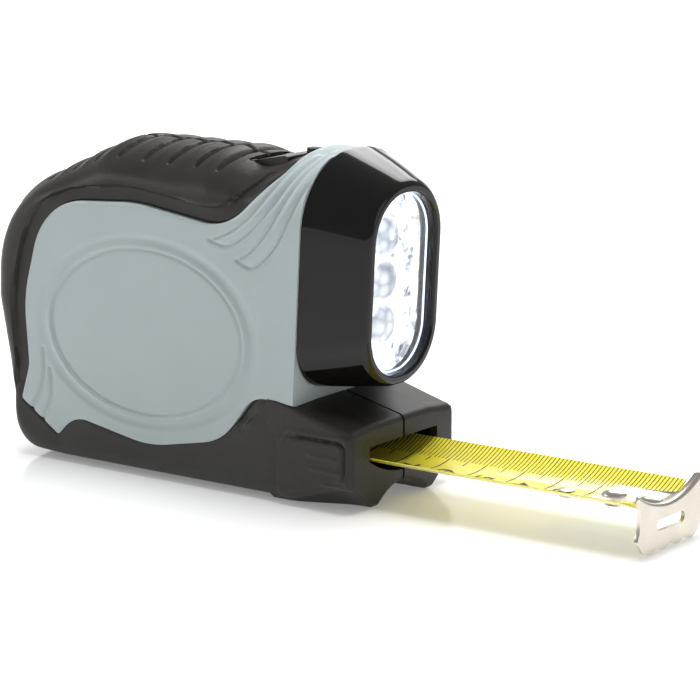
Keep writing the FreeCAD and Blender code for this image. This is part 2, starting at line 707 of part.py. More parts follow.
def head_plate(name, back, thick, gap):
    """Plate that fills the lamp bore from a depth behind the rim."""
    body = doc.addObject("PartDesign::Body", name)
    sketch = new_sketch(body, f"{name}_outline", "YZ_Plane", back)
    inner = opening_half - gap
    draw_corners(sketch, box_corners(inner, opening_low + gap, opening_high - gap, inner - 0.8))
    pad(body, sketch, f"{name}_pad", thick)
    body.Placement = head_place
    return keep(name, body)


lens_back = head_depth - size("lens_recess") - size("lens_thick")
fit_gap = size("fit_gap")
head_plate("lamp_lens", lens_back, "Sizes.lens_thick", fit_gap)

reflector_back = lens_back - size("reflector_thick")
optic_radius = size("optic_radius")
led_radius = size("led_radius")
optic_spots = [optic_z + step * size("led_pitch") for step in (-1, 0, 1)]
plate_inner = opening_half - fit_gap
plate_edges = rounded_edges(box_corners(plate_inner, opening_low + fit_gap, opening_high - fit_gap,
                                        plate_inner - 0.8),
                            lambda p: Vector(reflector_back, p.x, p.y))
reflector = Part.Face(Part.Wire(plate_edges)).extrude(Vector(size("reflector_thick"), 0, 0))
for z in optic_spots:
    cone = Part.makeCone(led_radius + 0.3, optic_radius, size("reflector_thick") - 1.0,
                         Vector(reflector_back + 1.0, 0, z), Vector(1, 0, 0))
    hole = Part.makeCylinder(led_radius + 0.05, 4, Vector(reflector_back - 1, 0, z), Vector(1, 0, 0))
    reflector = reflector.cut([cone, hole])
reflector_item = solid_feature("lamp_reflector", reflector)
reflector_item.Placement = head_place

leds = []
for z in optic_spots:
    stem = Part.makeCylinder(led_radius, size("led_length") - led_radius - 1.2,
                             Vector(reflector_back, 0, z), Vector(1, 0, 0))
    tip = Vector(reflector_back + size("led_length") - led_radius - 1.2, 0, z)
    dome = Part.makeSphere(led_radius, tip)
    behind = block(reflector_back - 9, reflector_back, -9, 9, z - 9, z + 9)
    leds.append(stem.fuse(dome).cut(behind).removeSplitter())
led_item = solid_feature("leds", Part.makeCompound(leds))
led_item.Placement = head_place

board_back = reflector_back - size("board_thick")
head_plate("led_board", board_back, "Sizes.board_thick", 0.4)

# ---------------------------------------------------------------- battery

cell_length = size("cell_length")
stack_high = room_half - 0.2
stack_low = stack_high - 3 * cell_length
cells = []
for number in range(3):
    low = stack_low + number * cell_length
    can = pin(cell_radius, cell_x, cell_z, low + 0.05, low + cell_length - 0.55)
    cap_disc = pin(cell_radius - 0.9, cell_x, cell_z, low + cell_length - 0.55, low + cell_length - 0.05)
    cells.append(can.fuse(cap_disc).removeSplitter())
solid_feature("button_cells", Part.makeCompound(cells))
holder = pin(holder_radius, cell_x, cell_z, stack_low - 1.6, room_half)
holder = holder.cut(pin(cell_radius + 0.2, cell_x, cell_z, stack_low - 0.4, room_half + 1))
solid_feature("battery_holder", holder)

door_face = half_width - size("door_thick")
door = pin(size("door_radius"), cell_x, cell_z, door_face, half_width)
door = door.fuse(pin(cell_radius + 0.4, cell_x, cell_z, room_half + 0.2, door_face))
coin = block(cell_x - 5.2, cell_x + 5.2, half_width - 1.1, half_width + 1,
             cell_z - size("coin_slot") / 2, cell_z + size("coin_slot") / 2)
solid_feature("battery_door", door.cut(coin).removeSplitter())

# ---------------------------------------------------------------- fasteners and belt clip

screws = []
head_floor = half_width - size("screw_sink")
for x, z in SCREW_SPOTS:
    shank = pin(size("screw_radius"), x, z, head_floor - size("screw_length") + 1, head_floor)
    head = pin(size("screw_head"), x, z, head_floor, head_floor + 1.6)
    drive = block(x - 1.6, x + 1.6, head_floor + 0.7, head_floor + 3, z - 0.3, z + 0.3)
    drive = drive.fuse(block(x - 0.3, x + 0.3, head_floor + 0.7, head_floor + 3, z - 1.6, z + 1.6))
    screws.append(shank.fuse(head).cut(drive).removeSplitter())
solid_feature("case_screws", Part.makeCompound(screws))

clip_thick, clip_half = size("clip_thick"), size("clip_half")
clip_top, clip_foot = size("clip_top"), size("clip_foot")
clip_out = half_width + size("clip_gap")


def clip_profile():
    """Bent strip in the Y-Z plane: fixed leg, bend at the top, free leg with a lifted toe."""
    inner = half_width
    return [
        (inner, clip_top - 15.0, 0.0), (inner + clip_thick, clip_top - 15.0, 0.0),
        (inner + clip_thick, clip_top - clip_thick, 0.6), (clip_out, clip_top - clip_thick, 0.6),
        (clip_out, clip_foot + 6.0, 3.0), (clip_out + 2.2, clip_foot, 0.0),
        (clip_out + clip_thick + 2.4, clip_foot, 0.0), (clip_out + clip_thick, clip_foot + 6.5, 3.0),
        (clip_out + clip_thick, clip_top, 1.2), (inner, clip_top, 1.2),
    ]


clip = along(clip_profile(), -clip_half, clip_half)
clip_screw_z = clip_top - 8.0
clip_hole = pin(size("screw_radius") + 0.1, 0, clip_screw_z, half_width - 8, half_width + clip_thick + 0.01)
access = pin(2.4, 0, clip_screw_z, clip_out - 0.5, clip_out + clip_thick + 0.5)
solid_feature("belt_clip", clip.cut([clip_hole, access]))
clip_screw = pin(size("screw_radius"), 0, clip_screw_z, room_half + 0.4, half_width + clip_thick)
clip_face = half_width + clip_thick
clip_screw = clip_screw.fuse(pin(2.2, 0, clip_screw_z, clip_face, clip_face + 1.2))
solid_feature("clip_screw", clip_screw.removeSplitter())
right_case = nodes["right_case"]
right_case.Shape = right_case.Shape.cut(
    pin(size("screw_radius") + fit_gap, 0, clip_screw_z, room_half - 1, half_width + 1))

# ---------------------------------------------------------------- check and export

doc.recompute()
for item in doc.Objects:
    states = [state for state in item.State if state in ("Invalid", "Error")]
    assert not states, f"{item.Label} did not compute: {states}"
for name, item in nodes.items():
    shape = item.Shape
    assert not shape.isNull() and shape.isValid() and shape.Solids, f"{name} has no valid solid"

os.makedirs("parts", exist_ok=True)
for name, item in nodes.items():
    item.Shape.exportStep(f"parts/{name}.step")
    print(name, len(item.Shape.Solids), round(item.Shape.Volume, 1))
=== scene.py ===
import bmesh
import bpy
import math
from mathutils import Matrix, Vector


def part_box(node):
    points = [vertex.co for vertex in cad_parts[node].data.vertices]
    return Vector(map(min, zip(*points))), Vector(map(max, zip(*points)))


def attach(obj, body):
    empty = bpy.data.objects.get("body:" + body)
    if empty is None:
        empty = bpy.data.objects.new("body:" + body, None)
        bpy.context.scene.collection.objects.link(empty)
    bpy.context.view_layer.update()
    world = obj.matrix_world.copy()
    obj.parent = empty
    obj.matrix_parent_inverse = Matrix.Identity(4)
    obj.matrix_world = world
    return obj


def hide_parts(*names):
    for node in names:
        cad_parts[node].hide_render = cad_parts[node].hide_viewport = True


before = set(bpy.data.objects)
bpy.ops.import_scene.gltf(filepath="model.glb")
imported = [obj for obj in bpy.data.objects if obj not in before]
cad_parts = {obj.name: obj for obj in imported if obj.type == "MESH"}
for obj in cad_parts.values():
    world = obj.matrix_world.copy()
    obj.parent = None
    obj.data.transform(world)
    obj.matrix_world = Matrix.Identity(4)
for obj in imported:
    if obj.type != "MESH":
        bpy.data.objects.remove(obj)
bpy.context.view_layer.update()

MM = 0.001

# ---------------------------------------------------------------- sizes, in millimetres, from the frame


def box_mm(node):
    """Lowest and highest corner of a CAD node in millimetres."""
    low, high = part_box(node)
    return Vector(low) / MM, Vector(high) / MM


GRIP_LOW, GRIP_HIGH = box_mm("left_grip")
BLADE_LOW, BLADE_HIGH = box_mm("tape_blade")
HOOK_LOW, HOOK_HIGH = box_mm("hook")
DRUM_LOW, DRUM_HIGH = box_mm("reel_drum")
HALF = -GRIP_LOW.y
NOSE_FRONT = GRIP_HIGH.x
CROWN = box_mm("left_case")[1].z
REEL_Z = (DRUM_LOW.z + DRUM_HIGH.z) / 2
TOP = CROWN - 2.0
REAR = -49.2
LEAN = math.tan(math.radians(3.0))
FOOT_X, FOOT_Z = 42.3, 22.7
HEAD_DEPTH = 15.0


def front_x(z):
    """X of the leaning front plane at a height."""
    return FOOT_X + (z - FOOT_Z) * LEAN


# ---------------------------------------------------------------- small helpers

def smooth(low, high, value):
    """Smooth step from 0 at low to 1 at high."""
    share = min(1.0, max(0.0, (value - low) / (high - low)))
    return share * share * (3 - 2 * share)


def mix(a, b, share):
    """Linear blend."""
    return a + (b - a) * share


def rounded_path(corners, spacing=0.4, closed=True):
    """Points along a polygon of (u, v, radius) corners, each rounded by a tangent arc."""
    points = []
    count = len(corners)
    for index, (u, v, radius) in enumerate(corners):
        here = Vector((u, v))
        at_end = not closed and index in (0, count - 1)
        if radius <= 0 or at_end:
            points.append(here)
            continue
        back = (Vector(corners[index - 1][:2]) - here).normalized()
        forth = (Vector(corners[(index + 1) % count][:2]) - here).normalized()
        half = back.angle(forth) / 2
        centre = here + (back + forth).normalized() * (radius / math.sin(half))
        start = here + back * (radius / math.tan(half)) - centre
        sweep = start.angle_signed(here + forth * (radius / math.tan(half)) - centre)
        steps = max(2, math.ceil(radius * abs(sweep) / spacing))
        for step in range(steps + 1):
            turn = -sweep * step / steps
            spot = Vector((start.x * math.cos(turn) - start.y * math.sin(turn),
                           start.x * math.sin(turn) + start.y * math.cos(turn)))
            points.append(centre + spot)
    if closed:
        points.append(points[0])
    return points


def resample(points, count):
    """Points at equal steps along a polyline."""
    lengths = [0.0]
    for a, b in zip(points, points[1:]):
        lengths.append(lengths[-1] + (b - a).length)
    result = []
    place = 0
    for step in range(count):
        goal = lengths[-1] * step / (count - 1)
        while place < len(points) - 2 and lengths[place + 1] < goal:
            place += 1
        span = lengths[place + 1] - lengths[place]
        share = (goal - lengths[place]) / span if span else 0.0
        result.append(points[place].lerp(points[place + 1], min(1.0, share)))
    return result


def nearest(points, spot, first=0):
    """Index of the point nearest to a spot, at or after an index."""
    return min(range(first, len(points)), key=lambda i: (points[i] - spot).length)


def placed(name, data):
    """Object that holds some data, linked to the scene."""
    item = bpy.data.objects.new(name, data)
    bpy.context.scene.collection.objects.link(item)
    return item


def new_piece(name, vertices, faces, body, material, replaces=(), flat=False, scale=MM):
    """Mesh object from millimetre vertices, shaded smooth, with its material, body and slot."""
    mesh = bpy.data.meshes.new(name)
    mesh.from_pydata([Vector(v) * scale for v in vertices], [], faces)
    return finish_mesh(name, mesh, body, material, replaces, flat)


def finish_mesh(name, mesh, body, material, replaces=(), flat=False, recalc=True, merge=1e-6):
    """Clean a mesh and hand it to the frame as a piece."""
    work = bmesh.new()
    work.from_mesh(mesh)
    bmesh.ops.remove_doubles(work, verts=work.verts, dist=merge)
    if recalc:
        bmesh.ops.recalc_face_normals(work, faces=work.faces)
    work.to_mesh(mesh)
    work.free()
    if not flat:
        mesh.polygons.foreach_set("use_smooth", [True] * len(mesh.polygons))
        mesh.set_sharp_from_angle(angle=math.radians(38))
    piece = placed(name, mesh)
    mesh.materials.clear()
    mesh.materials.append(material)
    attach(piece, body)
    if replaces:
        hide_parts(*replaces)
    return piece


def loose_object(name, vertices, faces):
    """Helper object that isn't a piece: its mesh is used and it is then removed."""
    mesh = bpy.data.meshes.new(name)
    mesh.from_pydata([Vector(v) * MM for v in vertices], [], faces)
    work = bmesh.new()
    work.from_mesh(mesh)
    bmesh.ops.remove_doubles(work, verts=work.verts, dist=1e-7)
    bmesh.ops.recalc_face_normals(work, faces=work.faces)
    work.to_mesh(mesh)
    work.free()
    return placed(name, mesh)


def baked(item):
    """Plain mesh of an object with its modifiers applied; the object is removed."""
    bpy.context.view_layer.update()
    shape = item.evaluated_get(bpy.context.evaluated_depsgraph_get())
    mesh = bpy.data.meshes.new_from_object(shape)
    bpy.data.objects.remove(item)
    return mesh


def cut(item, tools, operation="DIFFERENCE"):
    """Boolean of one helper object with others, which are removed."""
    for tool in tools:
        change = item.modifiers.new("cut", "BOOLEAN")
        change.operation = operation
        change.solver = "EXACT"
        change.object = tool
    mesh = baked(item)
    for tool in tools:
        bpy.data.objects.remove(tool)
    return placed("cut", mesh)


def walled(item, thickness, offset=-1.0):
    """Plain mesh of a helper sheet given a wall."""
    wall = item.modifiers.new("wall", "SOLIDIFY")
    wall.thickness = thickness * MM
    wall.offset = offset
    return baked(item)


def softened(item, width, angle):
    """Plain mesh of a helper object with its sharp edges rounded."""
    soften = item.modifiers.new("soften", "BEVEL")
    soften.width = width * MM
    soften.segments = 2
    soften.limit_method = "ANGLE"
    soften.angle_limit = math.radians(angle)
    return baked(item)


def grid_faces(rows, columns, wrap=False, start=0):
    """Quads of a rows by columns grid of vertices."""
    faces = []
    for row in range(rows - 1):
        for column in range(columns if wrap else columns - 1):
            a = start + row * columns + column
            b = start + row * columns + (column + 1) % columns
            faces.append((a, b, b + columns, a + columns))
    return faces


def prism(outline, low, high, axis):
    """Closed prism of a 2D outline along X or Y, as (vertices, faces)."""
    count = len(outline)
    vertices = []
    for level in (low, high):
        for p in outline:
            vertices.append((level, p[0], p[1]) if axis == "X" else (p[0], level, p[1]))
    faces = grid_faces(2, count, wrap=True)
    faces.append(tuple(range(count)))
    faces.append(tuple(range(2 * count - 1, count - 1, -1)))
    return vertices, faces


def ring_points(radius, count, u=0.0, v=0.0):
    """Points of a circle."""
    return [(u + radius * math.cos(2 * math.pi * i / count), v + radius * math.sin(2 * math.pi * i / count))
            for i in range(count)]


# ---------------------------------------------------------------- materials

def srgb(text):
    """Linear RGBA from an sRGB hex colour."""
    channels = [int(text[i:i + 2], 16) / 255 for i in (0, 2, 4)]
    linear = [c / 12.92 if c <= 0.04045 else ((c + 0.055) / 1.055) ** 2.4 for c in channels]
    return (*linear, 1.0)


def add(tree, kind, links=None, **settings):
    """Add one node, set its properties or inputs, and link its inputs."""
    node = tree.nodes.new(kind)
    for key, value in settings.items():
        if key == "stops":
            for element, (place, colour) in zip(node.color_ramp.elements, value):
                element.position, element.color = place, colour
        elif hasattr(node, key):
            setattr(node, key, value)
        else:
            node.inputs[key.replace("_", " ")].default_value = value
    for key, source in (links or {}).items():
        tree.links.new(source, node.inputs[key])
    return node


def blank(name):
    """Empty node material with its output node."""
    material = bpy.data.materials.new(name)
    material.use_nodes = True
    tree = material.node_tree
    tree.nodes.clear()
    return material, tree, tree.nodes.new("ShaderNodeOutputMaterial")


def object_space(tree, millimetres):
    """Object coordinates scaled so that one unit of pattern is a real size."""
    place = add(tree, "ShaderNodeTexCoord")
    scaled = add(tree, "ShaderNodeVectorMath", {0: place.outputs["Object"]}, operation="SCALE",
                 Scale=1.0 / (millimetres * MM))
    return scaled.outputs[0]


def grained_plastic(name, dark, light, rough_low, rough_high, grain_mm, bump_mm, ior=1.5, gloss=0.5):
    """Moulded plastic or rubber: fine grain in the surface, slow colour drift, worn gloss patches."""
    material, tree, output = blank(name)
    grain = add(tree, "ShaderNodeTexNoise", {"Vector": object_space(tree, grain_mm)}, Scale=1.0, Detail=3.0)
    drift = add(tree, "ShaderNodeTexNoise", {"Vector": object_space(tree, 14.0)}, Scale=1.0, Detail=4.0)
    tint = add(tree, "ShaderNodeValToRGB", {"Fac": drift.outputs["Fac"]},
               stops=[(0.3, srgb(dark)), (0.7, srgb(light))])
    rough = add(tree, "ShaderNodeMapRange", {"Value": drift.outputs["Fac"]},
                To_Min=rough_low, To_Max=rough_high)
    bump = add(tree, "ShaderNodeBump", {"Height": grain.outputs["Fac"]}, Strength=0.6)
    bump.inputs["Distance"].default_value = bump_mm * MM
    shader = add(tree, "ShaderNodeBsdfPrincipled",
                 {"Base Color": tint.outputs["Color"], "Roughness": rough.outputs["Result"],
                  "Normal": bump.outputs["Normal"]})
    shader.inputs["IOR"].default_value = ior
    shader.inputs["Specular IOR Level"].default_value = gloss
    tree.links.new(shader.outputs[0], output.inputs["Surface"])
    return material


def moulded_abs_grey():
    """Injection-moulded ABS: even satin blue-grey with a very fine spark-eroded grain.

    The real grain is about 0.05 mm; it is drawn at 0.35 mm so that it shows.
    """
    return grained_plastic("moulded_abs_grey", "a5b0b2", "a9b3b5", 0.34, 0.42, 0.35, 0.012, 1.53)


def overmoulded_rubber():
    """Soft thermoplastic rubber: near black, dull, slightly uneven, with a fine leather-like grain.

    The real grain is about 0.2 mm; it is drawn at 0.5 mm so that it shows.
    """
    return grained_plastic("overmoulded_rubber", "22201e", "2a2826", 0.36, 0.5, 0.5, 0.09, 1.5, 0.38)


def textured_rubber():
    """The nose's side pads: the same rubber with a coarser pebbled grain."""
    return grained_plastic("textured_rubber", "252321", "2d2b28", 0.42, 0.52, 0.6, 0.12, 1.5, 0.36)


def smooth_dark_abs():
    """Smooth moulded ABS of the thumb lever: brown-black satin."""
    return grained_plastic("smooth_dark_abs", "1d1a17", "26221e", 0.3, 0.36, 0.5, 0.006, 1.53, 0.4)


def moulded_acetal_black():
    """Black moulded acetal bearing parts: waxy satin."""
    return grained_plastic("moulded_acetal_black", "101010", "171717", 0.35, 0.45, 0.6, 0.01, 1.48)


def piano_black_abs():
    """Polished black ABS lamp housing: mirror gloss with faint orange peel and patchy haze."""
    material, tree, output = blank("piano_black_abs")
    peel = add(tree, "ShaderNodeTexNoise", {"Vector": object_space(tree, 4.0)}, Scale=1.0, Detail=1.0)
    haze = add(tree, "ShaderNodeTexNoise", {"Vector": object_space(tree, 9.0)}, Scale=1.0, Detail=5.0)
    bump = add(tree, "ShaderNodeBump", {"Height": peel.outputs["Fac"]}, Strength=0.25)
    bump.inputs["Distance"].default_value = 0.03 * MM
    tint = add(tree, "ShaderNodeValToRGB", {"Fac": haze.outputs["Fac"]},
               stops=[(0.3, srgb("0a0a09")), (0.7, srgb("100f0e"))])
    rough = add(tree, "ShaderNodeMapRange", {"Value": haze.outputs["Fac"]},
                To_Min=0.07, To_Max=0.13)
    shader = add(tree, "ShaderNodeBsdfPrincipled",
                 {"Base Color": tint.outputs["Color"],
                  "Roughness": rough.outputs["Result"],
                  "Normal": bump.outputs["Normal"]})
    shader.inputs["IOR"].default_value = 1.49
    shader.inputs["Specular IOR Level"].default_value = 0.36
    tree.links.new(shader.outputs[0], output.inputs["Surface"])
    return material


def metal(name, dark, light, rough_low, rough_high, stretch, grain_mm, bump_mm):
    """Metal with a directional or pebbled finish."""
    material, tree, output = blank(name)
    place = add(tree, "ShaderNodeMapping", {"Vector": object_space(tree, grain_mm)})
    place.inputs["Scale"].default_value = stretch
    grain = add(tree, "ShaderNodeTexNoise", {"Vector": place.outputs[0]}, Scale=1.0, Detail=5.0)
    drift = add(tree, "ShaderNodeTexNoise", {"Vector": object_space(tree, 6.0)}, Scale=1.0, Detail=3.0)
    bump = add(tree, "ShaderNodeBump", {"Height": grain.outputs["Fac"]}, Strength=0.5)
    bump.inputs["Distance"].default_value = bump_mm * MM
    tint = add(tree, "ShaderNodeValToRGB", {"Fac": drift.outputs["Fac"]},
               stops=[(0.3, srgb(dark)), (0.7, srgb(light))])
    rough = add(tree, "ShaderNodeMapRange", {"Value": grain.outputs["Fac"]},
                To_Min=rough_low, To_Max=rough_high)
    shader = add(tree, "ShaderNodeBsdfPrincipled",
                 {"Base Color": tint.outputs["Color"],
                  "Roughness": rough.outputs["Result"],
                  "Normal": bump.outputs["Normal"]}, Metallic=1.0)
    tree.links.new(shader.outputs[0], output.inputs["Surface"])
    return material


def bright_nickel():
    """Nickel-plated pressed steel: warm silver, soft gloss, faint press marks."""
    return metal("bright_nickel", "d6cfc2", "e0d9cd", 0.24, 0.34, (1, 1, 1), 1.5, 0.004)


def zinc_plated_steel():
    """Zinc-plated fasteners: cool grey, slightly mottled."""
    return metal("zinc_plated_steel", "9a9c9e", "bfc1c2", 0.28, 0.42, (1, 1, 1), 0.5, 0.012)


def brushed_spring_steel():
    """Brushed spring steel: fine lines along the strip.

    Real brushed lines are about 0.03 mm apart; they are drawn at 0.25 mm so that they show.
    """
    return metal("brushed_spring_steel", "b4b6b8", "cfd0d1", 0.22, 0.36, (1, 1, 0.05), 0.25, 0.012)


def lit_chrome():
    """Vacuum-metallised plastic: near mirror, with a painted cool white glow in patches in place of the
    diodes' light.
    """
    material = metal("lit_chrome", "e4e8ee", "f6f8fb", 0.08, 0.2, (1, 1, 1), 0.6, 0.006)
    tree = material.node_tree
    # painted glow: emission in noise patches, in place of light from the diodes
    cells = add(tree, "ShaderNodeTexNoise", {"Vector": object_space(tree, 3.2)}, Scale=1.0, Detail=4.0)
    painted_glow = add(tree, "ShaderNodeMapRange", {"Value": cells.outputs["Fac"]},
               From_Min=0.38, From_Max=0.5, To_Max=1.6)
    shader = next(node for node in tree.nodes if node.type == "BSDF_PRINCIPLED")
    shader.inputs["Emission Color"].default_value = srgb("eaf1ff")
    tree.links.new(painted_glow.outputs["Result"], shader.inputs["Emission Strength"])
    return material


def lit_cover_edge():
    """Polished edge of the clear cover: a painted blue-white glow line in place of the diodes' light."""
    material, tree, output = blank("lit_cover_edge")
    # painted glow: emission strength varies in noise patches
    noise = add(tree, "ShaderNodeTexNoise", {"Vector": object_space(tree, 6.0)}, Scale=1.0)
    strength = add(tree, "ShaderNodeMapRange", {"Value": noise.outputs["Fac"]},
                   To_Min=0.5, To_Max=2.2)
    shader = add(tree, "ShaderNodeBsdfPrincipled",
                 {"Emission Strength": strength.outputs["Result"]}, Roughness=0.1)
    shader.inputs["Emission Color"].default_value = srgb("c9dcff")
    tree.links.new(shader.outputs[0], output.inputs["Surface"])
    return material


def solder_mask_board():
    """Glass-epoxy board under green solder mask: gloss with a faint weave."""
    material, tree, output = blank("solder_mask_board")
    weave = add(tree, "ShaderNodeTexChecker", {"Vector": object_space(tree, 0.6)}, Scale=1.0)
    bump = add(tree, "ShaderNodeBump", {"Height": weave.outputs["Fac"]}, Strength=0.3)
    bump.inputs["Distance"].default_value = 0.02 * MM
    noise = add(tree, "ShaderNodeTexNoise", {"Vector": object_space(tree, 5.0)}, Scale=1.0)
    tint = add(tree, "ShaderNodeValToRGB", {"Fac": noise.outputs["Fac"]},
               stops=[(0.3, srgb("0f4a22")), (0.7, srgb("16592b"))])
    shader = add(tree, "ShaderNodeBsdfPrincipled",
                 {"Base Color": tint.outputs["Color"],
                  "Normal": bump.outputs["Normal"]}, Roughness=0.25)
    tree.links.new(shader.outputs[0], output.inputs["Surface"])
    return material


def clear_polycarbonate():
    """Clear polycarbonate cover: thin, almost invisible, glossy, lightly dusty."""
    material, tree, output = blank("clear_polycarbonate")
    dust = add(tree, "ShaderNodeTexNoise", {"Vector": object_space(tree, 3.0)}, Scale=1.0, Detail=4.0)
    rough = add(tree, "ShaderNodeMapRange", {"Value": dust.outputs["Fac"]},
                To_Min=0.02, To_Max=0.08)
    gloss = add(tree, "ShaderNodeBsdfPrincipled",
                {"Roughness": rough.outputs["Result"]}, Alpha=0.16)
    gloss.inputs["Base Color"].default_value = srgb("f4f8ff")
    gloss.inputs["IOR"].default_value = 1.585
    tree.links.new(gloss.outputs[0], output.inputs["Surface"])
    return material


def lit_led_epoxy():
    """Clear epoxy of a lit white diode: cool white glow, unevenly bright in noise patches."""
    material, tree, output = blank("lit_led_epoxy")
    noise = add(tree, "ShaderNodeTexNoise", {"Vector": object_space(tree, 1.6)}, Scale=1.0)
    strength = add(tree, "ShaderNodeMapRange", {"Value": noise.outputs["Fac"]},
                   To_Min=5.0, To_Max=9.0)
    shader = add(tree, "ShaderNodeBsdfPrincipled",
                 {"Emission Strength": strength.outputs["Result"]}, Roughness=0.1)
    shader.inputs["Base Color"].default_value = srgb("f3f7ff")
    shader.inputs["Emission Color"].default_value = srgb("e9f1ff")
    tree.links.new(shader.outputs[0], output.inputs["Surface"])
    return material


def lit_optic():
    """Moulded clear collimator in front of a lit diode: faceted, with a painted glow brightest at each
    facet's middle and painted shade that darkens it to grey-blue at its edge.
    """
    material, tree, output = blank("lit_optic")
    # painted light and shade: emission and tint fall from each cell's middle to its edge
    cells = add(tree, "ShaderNodeTexVoronoi", {"Vector": object_space(tree, 2.6)}, Scale=1.0)
    painted_glow = add(tree, "ShaderNodeMapRange", {"Value": cells.outputs["Distance"]}, To_Min=0.75, To_Max=0.0)
    tint = add(tree, "ShaderNodeValToRGB", {"Fac": cells.outputs["Distance"]},
               stops=[(0.1, srgb("e8eefa")), (0.8, srgb("8f9bb0"))])
    shader = add(tree, "ShaderNodeBsdfPrincipled",
                 {"Base Color": tint.outputs["Color"],
                  "Emission Strength": painted_glow.outputs["Result"]}, Roughness=0.08)
    shader.inputs["Emission Color"].default_value = srgb("f2f6ff")
    shader.inputs["Coat Weight"].default_value = 0.8
    shader.inputs["Coat Roughness"].default_value = 0.03
    tree.links.new(shader.outputs[0], output.inputs["Surface"])
    return material


def lacquered_blade():
    """Yellow lacquer over spring steel: clean satin, fine roller lines along the strip."""
    material, tree, output = blank("lacquered_blade")
    place = add(tree, "ShaderNodeMapping", {"Vector": object_space(tree, 0.5)})
    place.inputs["Scale"].default_value = (0.05, 1, 1)
    lines = add(tree, "ShaderNodeTexNoise", {"Vector": place.outputs[0]}, Scale=1.0, Detail=4.0)
    drift = add(tree, "ShaderNodeTexNoise", {"Vector": object_space(tree, 9.0)}, Scale=1.0, Detail=3.0)
    bump = add(tree, "ShaderNodeBump", {"Height": lines.outputs["Fac"]}, Strength=0.3)
    bump.inputs["Distance"].default_value = 0.01 * MM
    tint = add(tree, "ShaderNodeValToRGB", {"Fac": drift.outputs["Fac"]},
               stops=[(0.3, srgb("e9db40")), (0.7, srgb("eee24c"))])
    rough = add(tree, "ShaderNodeMapRange", {"Value": lines.outputs["Fac"]},
                To_Min=0.2, To_Max=0.3)
    shader = add(tree, "ShaderNodeBsdfPrincipled",
                 {"Base Color": tint.outputs["Color"],
                  "Roughness": rough.outputs["Result"],
                  "Normal": bump.outputs["Normal"]})
    shader.inputs["IOR"].default_value = 1.5
    shader.inputs["Coat Weight"].default_value = 0.6
    shader.inputs["Coat Roughness"].default_value = 0.1
    tree.links.new(shader.outputs[0], output.inputs["Surface"])
    return material


def printed_ink(name, colour):
    """Printed ink: thin, matt, slightly uneven."""
    material, tree, output = blank(name)
    noise = add(tree, "ShaderNodeTexNoise", {"Vector": object_space(tree, 0.8)}, Scale=1.0, Detail=3.0)
    rough = add(tree, "ShaderNodeMapRange", {"Value": noise.outputs["Fac"]},
                To_Min=0.4, To_Max=0.6)
    shader = add(tree, "ShaderNodeBsdfPrincipled",
                 {"Roughness": rough.outputs["Result"]})
    shader.inputs["Base Color"].default_value = srgb(colour)
    tree.links.new(shader.outputs[0], output.inputs["Surface"])
    return material


ABS = moulded_abs_grey()
RUBBER = overmoulded_rubber()
PEBBLED = textured_rubber()
LEVER_ABS = smooth_dark_abs()
ACETAL = moulded_acetal_black()
PIANO = piano_black_abs()
NICKEL = bright_nickel()
ZINC = zinc_plated_steel()
SPRING = brushed_spring_steel()
CHROME = lit_chrome()
PAINTED_EDGE_GLOW = lit_cover_edge()
BOARD = solder_mask_board()
CLEAR = clear_polycarbonate()
LED = lit_led_epoxy()
OPTIC = lit_optic()
LACQUER = lacquered_blade()
BLACK_INK = printed_ink("black_ink", "1c1b16")
RED_INK = printed_ink("red_ink", "b3241c")

KEPT = {
    "mouth_guide": ACETAL, "reel_axle": ZINC, "power_spring": SPRING, "lever_pin": ZINC,
    "lamp_switch": ACETAL, "switch_board": BOARD, "lamp_lens": CLEAR, "leds": LED, "led_board": BOARD,
    "button_cells": ZINC, "battery_holder": ACETAL, "case_screws": ZINC,
    "clip_screw": ZINC, "reel_drum": ACETAL, "tape_coil": LACQUER, "brake_pad": RUBBER,
    "lamp_button": LEVER_ABS, "thumb_lever": LEVER_ABS, "battery_door": ABS, "hook_plate": ZINC,
}
for node, material in KEPT.items():
    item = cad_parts[node]
    if not item.material_slots:
        item.data.materials.append(material)
    for slot_place in item.material_slots:
        slot_place.material = material

# ---------------------------------------------------------------- case outlines (x, z, radius)

PANEL = [
    (front_x(TOP) + 6.0, TOP + 6.0, 0.0), (38.5, TOP + 6.0, 0.0), (37.0, TOP - 2.0, 6.0),
    (24.0, 60.2, 14.0), (-3.0, 63.8, 40.0), (-30.5, 61.8, 17.0), (-37.2, 38.0, 30.0),
    (-36.0, 22.0, 8.0), (-38.6, 13.6, 0.8), (-27.3, 6.2, 0.8), (-22.0, 11.4, 8.0),
    (0.5, 7.4, 30.0), (22.0, 11.6, 14.0), (31.0, 23.2, 7.0), (front_x(TOP) + 6.0, 21.8, 0.0),
]
SKYLINE = [
    (38.0, TOP + 0.6, 0.0), (25.8, TOP - 2.9, 7.0), (15.0, TOP - 0.1, 7.0),
    (-15.5, TOP + 0.1, 14.0), (REAR - 0.3, TOP - 15.6, 25.0), (REAR - 0.6, REEL_Z + 4.0, 12.0),
    (REAR + 7.7, 0.0, 8.0), (front_x(0.0), 0.0, 0.0),
]
